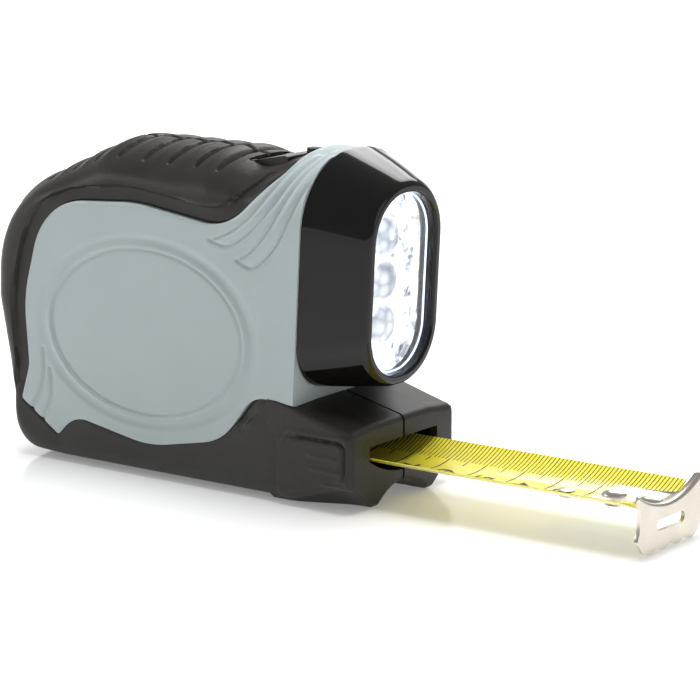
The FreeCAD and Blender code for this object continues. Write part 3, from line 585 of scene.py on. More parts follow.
# Matching places on skyline and panel edge, with the section's depth and squareness between them.
PAIRS = [
    ((38.0, 76.7), (38.2, 76.7), 16.0, 2.3), ((26.0, 73.6), (29.4, 65.9), 13.0, 2.3),
    ((20.7, 74.4), (26.6, 63.4), 13.0, 2.3), ((8.0, 76.1), (12.0, 61.8), 12.5, 2.2),
    ((-14.0, 75.4), (-9.0, 63.0), 12.0, 2.2), ((-34.6, 66.0), (-24.6, 59.4), 10.5, 2.3),
    ((-45.8, 56.0), (-31.6, 51.8), 9.5, 2.4), ((-49.7, 41.0), (-36.2, 38.0), 9.0, 2.5),
    ((-46.6, 23.0), (-36.6, 23.0), 8.0, 2.6), ((-43.2, 8.0), (-38.3, 13.8), 6.0, 2.8),
    ((-35.0, 0.0), (-33.0, 9.9), 6.0, 3.6), ((-27.0, 0.0), (-27.2, 6.4), 5.5, 4.2),
    ((0.0, 0.0), (0.0, 8.7), 6.0, 4.6), ((22.0, 0.0), (20.5, 12.0), 6.0, 4.6),
    ((33.0, 0.0), (31.0, 21.8), 6.0, 4.6), ((41.1, 0.0), (42.3, 22.4), 6.0, 4.6),
]
ARCH_DEPTH = 17.0
ARCH_POWER = 2.3
SINK_RADIUS = 2.95


def arch_half(z):
    """Half-width of the hard case's arched section at a height."""
    share = max(0.0, 1.0 - (CROWN - z) / ARCH_DEPTH)
    return HALF * max(0.0, 1.0 - share ** ARCH_POWER) ** (1 / ARCH_POWER)


def edge_fall(distance, depth, reach):
    """How far a moulded edge rounds off at a distance from its outline."""
    return depth * (1 - smooth(0.0, reach, distance))


class Outline:
    """Distance from a point to a polyline."""

    def __init__(self, points):
        self.segments = list(zip(points, points[1:]))

    def distance(self, x, z):
        """Shortest distance to the outline."""
        spot = Vector((x, z))
        best = 1e9
        for a, b in self.segments:
            if abs(a.x - x) > best + 3 and abs(b.x - x) > best + 3:
                continue
            line = b - a
            share = max(0.0, min(1.0, (spot - a).dot(line) / max(1e-9, line.length_squared)))
            best = min(best, (a + line * share - spot).length)
        return best


PANEL_PATH = rounded_path(PANEL, 0.5)
PANEL_EDGE = Outline(PANEL_PATH)

# Embossed ribbons: each a lower and an upper edge curve from its tail to the crown.
RIBBONS = [
    ([(19.1, 57.4), (23.6, 56.5), (28.3, 58.7), (33.4, 63.2), (37.7, 68.6), (42.0, 77.5)],
     [(19.1, 57.5), (23.4, 59.0), (28.2, 61.9), (32.1, 65.6), (35.8, 70.6), (39.6, 77.5)]),
    ([(26.7, 53.6), (30.5, 52.2), (34.2, 54.2), (38.3, 58.9), (41.4, 64.5), (44.6, 72.0), (46.4, 77.5)],
     [(27.0, 53.8), (30.4, 55.6), (34.6, 60.0), (38.3, 65.4), (41.0, 70.8), (43.6, 77.5)]),
]


def curve_through(points, spacing=0.4):
    """Smooth curve through points, as a polyline."""
    spots = [Vector(p) for p in points]
    result = []
    for index in range(len(spots) - 1):
        before = spots[max(0, index - 1)]
        start, end = spots[index], spots[index + 1]
        after = spots[min(len(spots) - 1, index + 2)]
        steps = max(2, int((end - start).length / spacing))
        for step in range(steps):
            t = step / steps
            result.append(0.5 * ((2 * start) + (end - before) * t
                                 + (2 * before - 5 * start + 4 * end - after) * t * t
                                 + (3 * start - before - 3 * end + after) * t * t * t))
    result.append(spots[-1])
    return result


def inside(polygon, x, z):
    """Whether a point lies in a polygon."""
    odd = False
    for a, b in zip(polygon, polygon[1:] + polygon[:1]):
        if (a.y > z) != (b.y > z) and x < (b.x - a.x) * (z - a.y) / (b.y - a.y) + a.x:
            odd = not odd
    return odd


RIBBON_SHAPES = []
for lower, upper in RIBBONS:
    loop = curve_through(lower, 1.2) + curve_through(upper, 1.2)[::-1]
    RIBBON_SHAPES.append((loop, Outline(loop + loop[:1])))


S_GROOVES = [
    curve_through([(-31.4, 26.5), (-31.2, 21.5), (-32.4, 16.4), (-35.4, 11.4)], 1.0),
    curve_through([(-29.4, 22.0), (-28.9, 16.3), (-30.4, 12.0), (-32.6, 8.6)], 1.0),
]
S_EDGES = [Outline(points) for points in S_GROOVES]


def relief(x, z):
    """Height of the hard panel's relief at a place: oval ring, flowing ribbons and rear grooves."""
    height = 0.0
    ring = (math.hypot(x / 28.2, (z - REEL_Z) / 19.3) - 1) * 23.0
    height += 0.42 * math.exp(-((ring - 0.75) / 0.5) ** 2)
    height -= 0.30 * math.exp(-((ring + 0.15) / 0.4) ** 2)
    height -= 0.30 * smooth(1.2, 2.0, ring) * (1 - smooth(2.6, 4.4, ring))
    for loop, edge in RIBBON_SHAPES:
        if x > 17 and z > 50:
            distance = edge.distance(x, z)
            within = inside(loop, x, z)
            if distance < 1.6:
                height -= 0.45 * math.exp(-(distance / 0.36) ** 2)
            height += (0.34 if within else 0.0) * smooth(0.0, 1.6, distance)
    if x < -26 and z < 30:
        for edge in S_EDGES:
            height -= 0.5 * math.exp(-(edge.distance(x, z) / 0.6) ** 2)
    return height


def hard_case(side, name, node):
    """One half of the hard case: arched section swept along the case, trimmed to the panel outline."""
    section = [(0.02, CROWN, 0.0)]
    arch_steps = 64
    for step in range(1, arch_steps + 1):
        turn = math.pi / 2 * step / arch_steps
        y = HALF * math.sin(turn) ** (2 / ARCH_POWER)
        section.append((y, CROWN - ARCH_DEPTH * (1 - math.cos(turn) ** (2 / ARCH_POWER)), 0))
    z = CROWN - ARCH_DEPTH
    while z > 5.0:
        z -= 0.32
        section.append((HALF, z, 0))
    inner = [(y - 2.2 if y > 2.3 else 0.02, min(z, CROWN - 2.2), 0) for y, z, _ in section[::-8]]
    inner[-1] = (0.02, CROWN - 2.2, 0)
    loop = section + inner
    columns = len(loop)
    vertices = []
    lowest, highest, steps = -39.5, 49.0, 280
    rows = steps + 1
    for step in range(rows):
        x = mix(lowest, highest, step / steps)
        vertices += [(x, side * y, z) for y, z, _ in loop]
    faces = grid_faces(rows, columns, wrap=True)
    faces.append(tuple(range(columns)))
    faces.append(tuple(range((rows - 1) * columns, rows * columns))[::-1])
    shell = loose_object(name + "_raw", vertices, faces)
    outline = [(p.x, p.y) for p in PANEL_PATH[:-1]]
    trim = loose_object("trim", *prism(outline, -HALF - 3, HALF + 3, "Y"))
    front = [(-80.0, -10.0), (front_x(-10.0), -10.0), (front_x(95.0), 95.0), (-80.0, 95.0)]
    stop = loose_object("stop", *prism(front, -HALF - 4, HALF + 4, "Y"))
    shell = cut(shell, [trim, stop], "INTERSECT")
    tools = []
    if side > 0:
        low, high = box_mm("battery_door")
        x, z = (low.x + high.x) / 2, (low.z + high.z) / 2
        tools.append(loose_object("seat", *prism(ring_points((high.x - low.x) / 2 + 0.12, 64, x, z),
                                                 HALF - 2.4, HALF + 2, "Y")))
        for spot in screw_spots():
            sink = prism(ring_points(SINK_RADIUS, 40, *spot), HALF - 3.4, HALF + 2, "Y")
            tools.append(loose_object("sink", *sink))
    if tools:
        shell = cut(shell, tools)
    mesh = shell.data
    for vertex in mesh.vertices:
        x, y, z = vertex.co / MM
        surface = arch_half(z)
        if abs(y) < surface - 1.2:
            continue
        if side > 0 and tools and abs(y) < HALF - 0.02 and z < CROWN - ARCH_DEPTH:
            continue
        rise = relief(x, z)
        edge = PANEL_EDGE.distance(x, z)
        rise -= edge_fall(edge, 0.28, 0.55)
        slope = min(1.0, (CROWN - z) / ARCH_DEPTH)
        lift = Vector((0, side * math.sin(slope * math.pi / 2), math.cos(slope * math.pi / 2)))
        if rise:
            vertex.co += lift * (rise * MM)
    bpy.data.objects.remove(shell)
    return finish_mesh(name, mesh, "case", ABS, (node,))


def screw_spots():
    """Centres of the case screws in the side view."""
    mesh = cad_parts["case_screws"].data
    clusters = []
    for vertex in mesh.vertices:
        x, _, z = vertex.co / MM
        for cluster in clusters:
            if math.hypot(x - cluster[0][0], z - cluster[0][1]) < 7:
                cluster.append((x, z))
                break
        else:
            clusters.append([(x, z)])
    spots = []
    for cluster in clusters:
        xs = [p[0] for p in cluster]
        zs = [p[1] for p in cluster]
        spots.append(((min(xs) + max(xs)) / 2, (min(zs) + max(zs)) / 2))
    return spots


# ---------------------------------------------------------------- rubber grip

GROOVES = (-32.6, -25.2, -18.6, -11.5, -3.8, 3.5, 11.2, 17.6)


def matched_paths():
    """Skyline and panel-edge points in pairs, with section depth and squareness."""
    outer_path = rounded_path(SKYLINE, 0.3, closed=False)
    outer_path = resample_keep(outer_path, 0.3)
    inner_path = resample_keep(PANEL_PATH, 0.3)
    rows = []
    outer_at = inner_at = 0
    for (first, second) in zip(PAIRS, PAIRS[1:]):
        o1 = nearest(outer_path, Vector(first[0]), outer_at)
        o2 = nearest(outer_path, Vector(second[0]), o1)
        i1 = nearest(inner_path, Vector(first[1]), inner_at)
        i2 = nearest(inner_path, Vector(second[1]), i1)
        outer_run = outer_path[o1:o2 + 1]
        inner_run = inner_path[i1:i2 + 1]
        length = sum((b - a).length for a, b in zip(outer_run, outer_run[1:]))
        length = max(length, sum((b - a).length for a, b in zip(inner_run, inner_run[1:])))
        step_mm = 0.27 if second[0][1] > 62 else 0.6
        count = max(3, int(length / step_mm) + 1)
        outer_points = resample(outer_run, count)
        inner_points = resample(inner_run, count)
        last = second is PAIRS[-1]
        for index in range(count if last else count - 1):
            share = index / (count - 1)
            rows.append((outer_points[index], inner_points[index],
                         mix(first[2], second[2], share), mix(first[3], second[3], share)))
        outer_at, inner_at = o2, i2
    return rows


def resample_keep(points, spacing):
    """Polyline with extra points on its long runs."""
    result = []
    for a, b in zip(points, points[1:]):
        steps = max(1, int((b - a).length / spacing))
        result += [a.lerp(b, step / steps) for step in range(steps)]
    result.append(points[-1])
    return result


def tread(x, y, z):
    """Depth of the top tread's cross grooves at a place."""
    if z < 60 or abs(y) < 0.9:
        return 0.0
    depth = 0.0
    for centre in GROOVES:
        distance = abs(x - centre)
        width = mix(0.95, 0.6, smooth(9.0, 15.0, abs(y)))
        if distance < 1.4:
            depth = max(depth, 1 - smooth(width * 0.55, width * 1.2, distance))
    fade = 1 - smooth(13.6, 15.2, abs(y))
    crown = 0.35 * min(1.0, min(abs(x - centre) for centre in GROOVES) / 3.4) ** 2
    return 2.0 * depth * fade - crown * (1 - smooth(13.0, 17.0, abs(y)))


def grip_skin(side, name, node):
    """Rubber overmould of one half: from the parting seam over the edge to the hard panel."""
    rows = [row for row in matched_paths() if (row[1] - row[0]).length > 0.8]
    bands = 58
    vertices = []
    for outer, inner, depth, power in rows:
        run = inner - outer
        length = max(run.length, 0.02)
        heading = run / length
        normal = heading
        section = []
        for step in range(201):
            turn = math.pi / 2 * step / 200
            y = HALF * math.sin(turn) ** (2 / power)
            d = depth * (1 - math.cos(turn) ** (2 / power))
            if d > length:
                break
            section.append(Vector((y, d)))
        if section[-1].y < length - 0.05 and len(section) > 190:
            section.append(Vector((HALF, length)))
        elif len(section) < 2:
            section.append(Vector((section[0].x + 0.3, length)))
        points = resample(section, bands)
        for index, p in enumerate(points):
            y, d = p
            spot = outer + heading * d
            share = index / (bands - 1)
            target = arch_half(spot.y) - 0.30
            if length > 0.05:
                y = mix(y, min(y, target) if spot.y < 60 else target, smooth(0.75, 1.0, share))
            where = smooth(14.5, 18.0, spot.y) * (1 - smooth(28.5, 33.0, spot.x))
            below = smooth(-0.3, 0.35, d - (length - 3.9))
            if y > HALF * 0.6:
                y += where * (0.35 * (1 - below) * smooth(0.65, 0.95, y / HALF) - 0.8 * below)
            y -= edge_fall(length - d, 0.30, 0.5) if d > depth * 0.5 else 0.0
            sink = tread(spot.x, y, spot.y) * (1 - smooth(0.55, 0.75, share))
            seam = 0.55 * (1 - smooth(0.15, 0.75, y))
            y = max(y, 0.06)
            sunk = spot + normal * (sink + seam)
            vertices.append((sunk.x, side * y, sunk.y))
    openings = [("box", 20.75, 31.35, 7.35), ("top", button_x(), 0.0, 1.95)]
    if side > 0:
        openings += [("side", *spot, SINK_RADIUS) for spot in screw_spots()]
        door_low, door_high = box_mm("battery_door")
        openings.append(("side", (door_low.x + door_high.x) / 2, (door_low.z + door_high.z) / 2,
                         (door_high.x - door_low.x) / 2 + 0.12))
    spots = [Vector(v) for v in vertices]
    gone = set()
    for index, spot in enumerate(spots):
        for kind, a, b, c in openings:
            if kind == "box" and spot.z > 66 and a - 0.3 < spot.x < b + 0.3 and abs(spot.y) < c + 0.3:
                inside_x, inside_y = a + 0.3 < spot.x < b - 0.3, abs(spot.y) < c - 0.3
                if inside_x and inside_y:
                    gone.add(index)
                if not inside_x:
                    spot.x = a if spot.x < (a + b) / 2 else b
                if not inside_y:
                    spot.y = math.copysign(c, spot.y)
            elif kind != "box":
                flat = Vector((spot.x - a, spot.y - b if kind == "top" else spot.z - b))
                off = spot.z < 66 if kind == "top" else abs(spot.y) < HALF * 0.6
                if off or flat.length > c + 0.3:
                    continue
                if flat.length < c - 0.3:
                    gone.add(index)
                else:
                    flat *= c / flat.length
                    spot.x = a + flat.x
                    if kind == "top":
                        spot.y = b + flat.y
                    else:
                        spot.z = b + flat.y
    faces = [face for face in grid_faces(len(rows), bands) if not gone.intersection(face)]
    skin = loose_object(name + "_raw", spots, faces)
    away = sum((f.normal.dot(f.center - Vector((0, 0, REEL_Z * MM))) for f in skin.data.polygons))
    if away < 0:
        skin.data.flip_normals()
    return finish_mesh(name, walled(skin, 2.0), "case", RUBBER, (node,), recalc=False)


def button_x():
    """X of the lamp button's axis."""
    low, high = box_mm("lamp_button")
    return (low.x + high.x) / 2


def front_wall(side, name):
    """Leaning front wall of one half, behind the lamp head and down to the nose."""
    outline = []
    for step in range(41):
        z = mix(FOOT_Z - 1.0, CROWN - 0.9, step / 40)
        outline.append((max(0.03, arch_half(z) - 0.9), z))
    outline += [(0.03, CROWN - 0.9), (0.03, FOOT_Z - 1.0)]
    vertices = []
    for depth in (2.0, 0.03):
        vertices += [(front_x(z) - depth, side * y, z) for y, z in outline]
    count = len(outline)
    faces = grid_faces(2, count, wrap=True) + [tuple(range(count)), tuple(range(count, 2 * count))[::-1]]
    return new_piece(name, vertices, faces, "case", ABS)


front_wall(-1, "left_front")
front_wall(1, "right_front")
hard_case(-1, "left_shell", "left_case")
hard_case(1, "right_shell", "right_case")
grip_skin(-1, "left_skin", "left_grip")
grip_skin(1, "right_skin", "right_grip")

# ---------------------------------------------------------------- geometry node trees


def socket(tree, name, kind, value=None):
    """Named input of a node group."""
    item = tree.interface.new_socket(name=name, in_out="INPUT", socket_type=kind)
    if value is not None:
        item.default_value = value
    return item


def row_tree():
    """Copies of a shape in a row: a count, a step and a material."""
    tree = bpy.data.node_groups.new("row_of_copies", "GeometryNodeTree")
    tree.interface.new_socket(name="Geometry", in_out="OUTPUT", socket_type="NodeSocketGeometry")
    socket(tree, "Shape", "NodeSocketGeometry")
    socket(tree, "Count", "NodeSocketInt", 3)
    socket(tree, "Step", "NodeSocketVector")
    socket(tree, "Long every", "NodeSocketInt", 0)
    socket(tree, "Long by", "NodeSocketFloat", 1.0)
    socket(tree, "Material", "NodeSocketMaterial")
    given = add(tree, "NodeGroupInput")
    line = add(tree, "GeometryNodeMeshLine",
               {"Count": given.outputs["Count"], "Offset": given.outputs["Step"]})
    index = add(tree, "GeometryNodeInputIndex")
    rest = add(tree, "ShaderNodeMath", {0: index.outputs[0], 1: given.outputs["Long every"]},
               operation="MODULO")
    first = add(tree, "ShaderNodeMath", {0: rest.outputs[0]}, operation="LESS_THAN")
    first.inputs[1].default_value = 0.5
    stretch = add(tree, "ShaderNodeMix", {"Factor": first.outputs[0], "B": given.outputs["Long by"]}, A=1.0)
    size = add(tree, "ShaderNodeCombineXYZ", {"Y": stretch.outputs["Result"]}, X=1.0, Z=1.0)
    copies = add(tree, "GeometryNodeInstanceOnPoints",
                 {"Points": line.outputs[0], "Instance": given.outputs["Shape"], "Scale": size.outputs[0]})
    real = add(tree, "GeometryNodeRealizeInstances", {"Geometry": copies.outputs[0]})
    painted = add(tree, "GeometryNodeSetMaterial",
                  {"Geometry": real.outputs[0], "Material": given.outputs["Material"]})
    add(tree, "NodeGroupOutput", {"Geometry": painted.outputs[0]})
    return tree


ROW = row_tree()


def row_mesh(shape, count, step, material, long_every=0, long_by=1.0):
    """Plain mesh of a row of copies of a helper object's shape."""
    change = shape.modifiers.new("row", "NODES")
    change.node_group = ROW
    values = {"Count": count, "Step": Vector(step) * MM, "Material": material,
              "Long every": long_every, "Long by": long_by}
    for item in ROW.interface.items_tree:
        if item.item_type == "SOCKET" and item.name in values:
            change[item.identifier] = values[item.name]
    return baked(shape)


# ---------------------------------------------------------------- nose

NOSE_TOP_FRONT, NOSE_TOP_REAR = 18.9, FOOT_Z
NOSE_REAR = 35.0
NOSE_CHAMFER, FOOT_HALF = 6.4, 11.6
ARCH_HALF, ARCH_RISE, ARCH_LONG = 9.4, 3.9, 14.0
SEAM = 0.36


def rounded_box_distance(x, z, box, radius):
    """Signed distance to a rounded rectangle (x0, x1, z0, z1), negative inside."""
    x0, x1, z0, z1 = box
    dx = abs(x - (x0 + x1) / 2) - (x1 - x0) / 2 + radius
    dz = abs(z - (z0 + z1) / 2) - (z1 - z0) / 2 + radius
    return math.hypot(max(dx, 0), max(dz, 0)) + min(max(dx, dz), 0) - radius


def nose_relief(x, z):
    """Raised side pad with its frame, grooves and ridges."""
    frame_gap = rounded_box_distance(x, z, (38.4, 66.0, -1.0, 17.4), 5.0)
    pad_gap = rounded_box_distance(x, z, (38.0, 56.6, -6.0, 15.9), 1.6)
    height = 0.55 * (1 - smooth(-0.35, 0.35, frame_gap))
    height -= 0.6 * math.exp(-(pad_gap / 0.38) ** 2) * smooth(7.0, 10.0, z) * smooth(41.5, 44.5, x)
    height += 0.18 * (1 - smooth(-0.6, 0.0, pad_gap))
    for ridge_z, start, end in ((12.3, 47.6, 54.6), (9.2, 48.2, 55.6), (6.1, 51.4, 55.8)):
        along = smooth(start - 1.2, start + 0.6, x) * (1 - smooth(end - 0.4, end + 0.8, x))
        height += 0.34 * math.exp(-((z - ridge_z) / 0.36) ** 2) * along
    return height


def nose_half(side, name):
    """Rubber nose of one half with its mouth cut out and the arch under its front."""
    def section(x, inset):
        rise = ARCH_RISE * smooth(NOSE_FRONT - ARCH_LONG - 2.0, NOSE_FRONT - ARCH_LONG + 5.0, x)
        share = (NOSE_FRONT - x) / (NOSE_FRONT - FOOT_X)
        top = mix(NOSE_TOP_FRONT, NOSE_TOP_REAR, min(1.3, share)) - inset
        wide = HALF + 0.12 - inset
        low = inset
        front = smooth(FOOT_X - 4.0, NOSE_FRONT - 2.0, x)
        corners = [(SEAM, top, 0), (wide * 0.55, top - 0.1, 8),
                   (wide, top - mix(1.1, 0.6, min(1, share)), mix(0.6, 1.6, front)),
                   (wide, mix(2.6, NOSE_CHAMFER, front) + inset * 0.4, 2.5),
                   (mix(HALF - 2.6, FOOT_HALF, front), low, 1.4)]
        tail = []
        for step in range(13):
            y = mix(ARCH_HALF, SEAM, step / 12)
            tail.append(Vector((y, low + rise * (1 - (y / ARCH_HALF) ** 2))))
        body_line = rounded_path(corners + [(ARCH_HALF + 0.6, low, 0.0)], 0.3, closed=False)
        return resample(resample_keep(body_line + tail, 0.25), 190)

    stations = [(mix(NOSE_REAR, NOSE_FRONT - 1.3, i / 78), 0.0) for i in range(79)]
    for step in range(1, 9):
        turn = math.pi / 2 * step / 8
        stations.append((NOSE_FRONT - 1.3 + 1.3 * math.sin(turn), 1.3 * (1 - math.cos(turn))))
    vertices = []
    for x, inset in stations:
        for p in section(x, inset):
            y, z = p
            if y > HALF - 2.6 and z < 17.8:
                facing = smooth(HALF - 2.4, HALF - 0.6, y)
                fade = 1 - smooth(NOSE_FRONT - 1.3, NOSE_FRONT - 0.3, x)
                y += nose_relief(x, z) * facing * fade
            vertices.append((x, side * y, z))
    columns = 190
    rows = len(stations)
    faces = grid_faces(rows, columns, wrap=True)
    faces += [tuple(range(columns)), tuple(range((rows - 1) * columns, rows * columns))[::-1]]
    shape = loose_object(name, vertices, faces)
    mouth = [(13.1, 13.9), (12.8, 14.2), (-12.8, 14.2), (-13.1, 13.9)]
    mouth += [(mix(-13.1, 13.1, i / 24), 6.7 + 4.1 * (2 * i / 24 - 1) ** 2) for i in range(25)]
    shape = cut(shape, [loose_object("mouth", *prism(mouth, NOSE_REAR - 2, NOSE_FRONT + 3, "X"))])
    mesh = shape.data
    bpy.data.objects.remove(shape)
    return finish_mesh(name, mesh, "case", PEBBLED)


nose_half(-1, "left_nose")
nose_half(1, "right_nose")

# ---------------------------------------------------------------- lamp head

LEAN_TURN = math.radians(3.0)
HEAD_FOOT = Vector((FOOT_X, 0, FOOT_Z))
RIM_HALF, RIM_LOW, RIM_HIGH = 13.8, 3.9, 49.8
BASE_HALF, BASE_LOW, BASE_HIGH = 19.5, 2.5, 55.6
RIM_ROUND, BORE_INSET = 13.0, 2.5
OPTIC_PITCH, OPTIC_DEPTH, BOWL_RADIUS, BOWL_DEPTH = 10.0, 4.0, 5.1, 4.2
OPTIC_Z = (RIM_LOW + RIM_HIGH) / 2
LENS_BACK = HEAD_DEPTH - 4.0


def head(x, y, z):
    """Point of the lamp head's own upright frame, in the object's frame."""
    return HEAD_FOOT + Vector((x * math.cos(LEAN_TURN) + z * math.sin(LEAN_TURN), y,
                               z * math.cos(LEAN_TURN) - x * math.sin(LEAN_TURN)))


def head_ring(x, half, low, high, r_low, r_high):
    """Closed ring of matched points round a rounded rectangle at a depth."""
    corners = [(half, low, r_low, -90), (half, high, r_high, 0),
               (-half, high, r_high, 90), (-half, low, r_low, 180)]
    points = []
    for y, z, radius, start in corners:
        cy = y - math.copysign(radius, y)
        cz = z + radius if start in (-90, 180) else z - radius
        for step in range(21):
            turn = math.radians(start + 90 * step / 20)
            points.append((cy + radius * math.cos(turn), cz + radius * math.sin(turn)))
    path = [Vector(p) for p in points]
    filled = []
    for index, p in enumerate(path):
        filled.append(p)
        if index % 21 == 20:
            after = path[(index + 1) % len(path)]
            filled += [p.lerp(after, step / 12) for step in range(1, 12)]
    return [head(x, p.x, p.y) for p in filled]


def ring_skin(rings):
    """Closed skin over a loop of rings: the last joins the first."""
    count = len(rings[0])
    vertices = [p for ring in rings for p in ring]
    faces = grid_faces(len(rings), count, wrap=True)
    last = (len(rings) - 1) * count
    for i in range(count):
        j = (i + 1) % count
        faces.append((last + i, last + j, j, i))
    return vertices, faces


def bore_ring(x, inset):
    """Ring parallel to the rim, an inset inside it, at a depth."""
    return head_ring(x, RIM_HALF - inset, RIM_LOW + inset, RIM_HIGH - inset, 12.95 - inset, 12.95 - inset)


def lamp_shell():
    """Polished housing: tapers from its wide foot to a flat rim round the lens bore."""
    def body_ring(x, inset=0.0):
        share = x / HEAD_DEPTH
        ease = share - 0.035 * math.sin(math.pi * share)
        half = mix(BASE_HALF, RIM_HALF, ease) - inset
        low, high = mix(BASE_LOW, RIM_LOW, share) + inset, mix(BASE_HIGH, RIM_HIGH, ease) - inset
        return head_ring(x, half, low, high, mix(11.0, RIM_ROUND, share) - inset,
                         mix(17.0, RIM_ROUND, share) - inset)

    rings = [body_ring(0.0, 0.9), body_ring(0.02, 0.25), body_ring(0.25, 0.03)]
    rings += [body_ring(mix(0.5, HEAD_DEPTH - 1.5, i / 22)) for i in range(23)]
    for step in range(1, 10):
        turn = math.pi / 2 * step / 9
        rings.append(body_ring(HEAD_DEPTH - 1.5 + 1.5 * math.sin(turn) * 0.98, 1.1 * (1 - math.cos(turn))))
    for inset, x in ((1.9, HEAD_DEPTH - 0.02), (2.2, HEAD_DEPTH - 0.25), (2.35, HEAD_DEPTH - 0.7),
                     (2.4, HEAD_DEPTH - 1.6), (2.45, LENS_BACK - 1.0), (2.5, LENS_BACK - 6.5)):
        rings.append(bore_ring(x, inset))
    rings.append(bore_ring(0.0, BORE_INSET))
    vertices, faces = ring_skin(rings)
    return new_piece("lamp_shell", vertices, faces, "case", PIANO, ("lamp_housing",))


lamp_shell()


def reflector():
    """Chromed plate with a raised border and three faceted bowls, one round each diode."""
    inner = RIM_HALF - BORE_INSET
    plate_x = LENS_BACK - 1.2
    low, high, bend = RIM_LOW + 2.4, RIM_HIGH - 2.4, 10.4
    rows, columns = 190, 100
    vertices = []
    for i in range(rows):
        z = mix(low, high, i / (rows - 1))
        away = max(0.0, low + bend - z, z - (high - bend))
        half = inner - bend + math.sqrt(max(0.0, bend * bend - away * away))
        for j in range(columns):
            y = mix(-half, half, j / (columns - 1))
            x = plate_x
            gap = min(math.hypot(y, z - OPTIC_Z - step * OPTIC_PITCH) for step in (-1, 0, 1))
            if gap < BOWL_RADIUS:
                x -= BOWL_DEPTH * (1 - (gap / BOWL_RADIUS) ** 1.6)
            edge = half - abs(y)
            x += 0.9 * (1 - smooth(0.0, 1.4, edge))
            ripple = 0.1 * math.sin(z) * math.sin(y * 1.5 + 1.3 * math.sin(z * 0.7))
            x += ripple if gap > BOWL_RADIUS else 0.0
            vertices.append(head(x, y, z))
    plate = loose_object("plate", vertices, grid_faces(rows, columns))
    return finish_mesh("reflector", walled(plate, 0.6), "case", CHROME,
                       ("lamp_reflector",))


reflector()


def optics():
    """Three clear domes in front of the diodes, set in a row by the node tree."""
    profile = [(4.7, 0.0), (4.95, 0.8), (4.9, 1.6), (4.5, 2.5), (3.8, 3.2), (2.8, 3.7), (1.6, 3.95),
               (0.5, OPTIC_DEPTH)]
    count = 28
    vertices = []
    for radius, x in profile:
        for i in range(count):
            turn = 2 * math.pi * i / count
            wave = 1 + (0.025 if i % 2 else -0.01) * (radius / 4.6)
            vertices.append(head(LENS_BACK - OPTIC_DEPTH + x, radius * wave * math.cos(turn),
                                 OPTIC_Z - OPTIC_PITCH + radius * wave * math.sin(turn)))
    faces = grid_faces(len(profile), count, wrap=True)
    last = (len(profile) - 1) * count
    faces += [tuple(range(count)), tuple(range(last, last + count))[::-1]]
    step = head(0, 0, OPTIC_PITCH) - head(0, 0, 0)
    mesh = row_mesh(loose_object("optic", vertices, faces), 3, step, OPTIC)
    return finish_mesh("lamp_optics", mesh, "case", OPTIC)


optics()


def lens_ring():
    """Edge of the cover plate where it meets the bore, with a painted glow in place of the diodes' light.
    """
    rings = []
    for step in range(8):
        turn = 2 * math.pi * step / 8
        inset = 2.75 - 0.22 * math.cos(turn)
        rings.append(bore_ring(LENS_BACK + 1.55 + 0.22 * math.sin(turn), inset))
    vertices, faces = ring_skin(rings)
    return new_piece("lens_ring", vertices, faces, "case", PAINTED_EDGE_GLOW)


lens_ring()

# ---------------------------------------------------------------- blade with its scale

BLADE_HALF, BLADE_EDGE_Z, BLADE_SAG, BLADE_THICK = 12.5, 11.6, 3.3, 0.2
BLADE_REAR, BLADE_END = BLADE_LOW.x, BLADE_HIGH.x
ZERO_X = HOOK_HIGH.x - 0.5
INK_THICK = 0.03


def blade_top(y):
    """Height of the curved blade's upper face across its width."""
    return BLADE_EDGE_Z - BLADE_SAG * (1 - (y / BLADE_HALF) ** 2)


def laid_on_blade(mesh, lift):
    """Bend a flat mesh, drawn at zero height, onto the blade's upper face."""
    for vertex in mesh.vertices:
        y = vertex.co.y / MM
        vertex.co.z = (blade_top(y) + lift) * MM + vertex.co.z
    return mesh


def blade_strip():
    """Curved spring-steel strip with clipped corners at its end."""
    rows, columns = 60, 41
    vertices = []
    for i in range(rows):
        share = i / (rows - 1)
        for j in range(columns):
            y = mix(-BLADE_HALF, BLADE_HALF, j / (columns - 1))
            end = BLADE_END - 2.2 * max(0.0, abs(y) - 9.5) / 3.0
            vertices.append((mix(BLADE_REAR, end, share), y, blade_top(y)))
    strip = loose_object("strip", vertices, grid_faces(rows, columns))
    return finish_mesh("blade_strip", walled(strip, BLADE_THICK), "blade", LACQUER,
                       ("tape_blade",))


blade_strip()


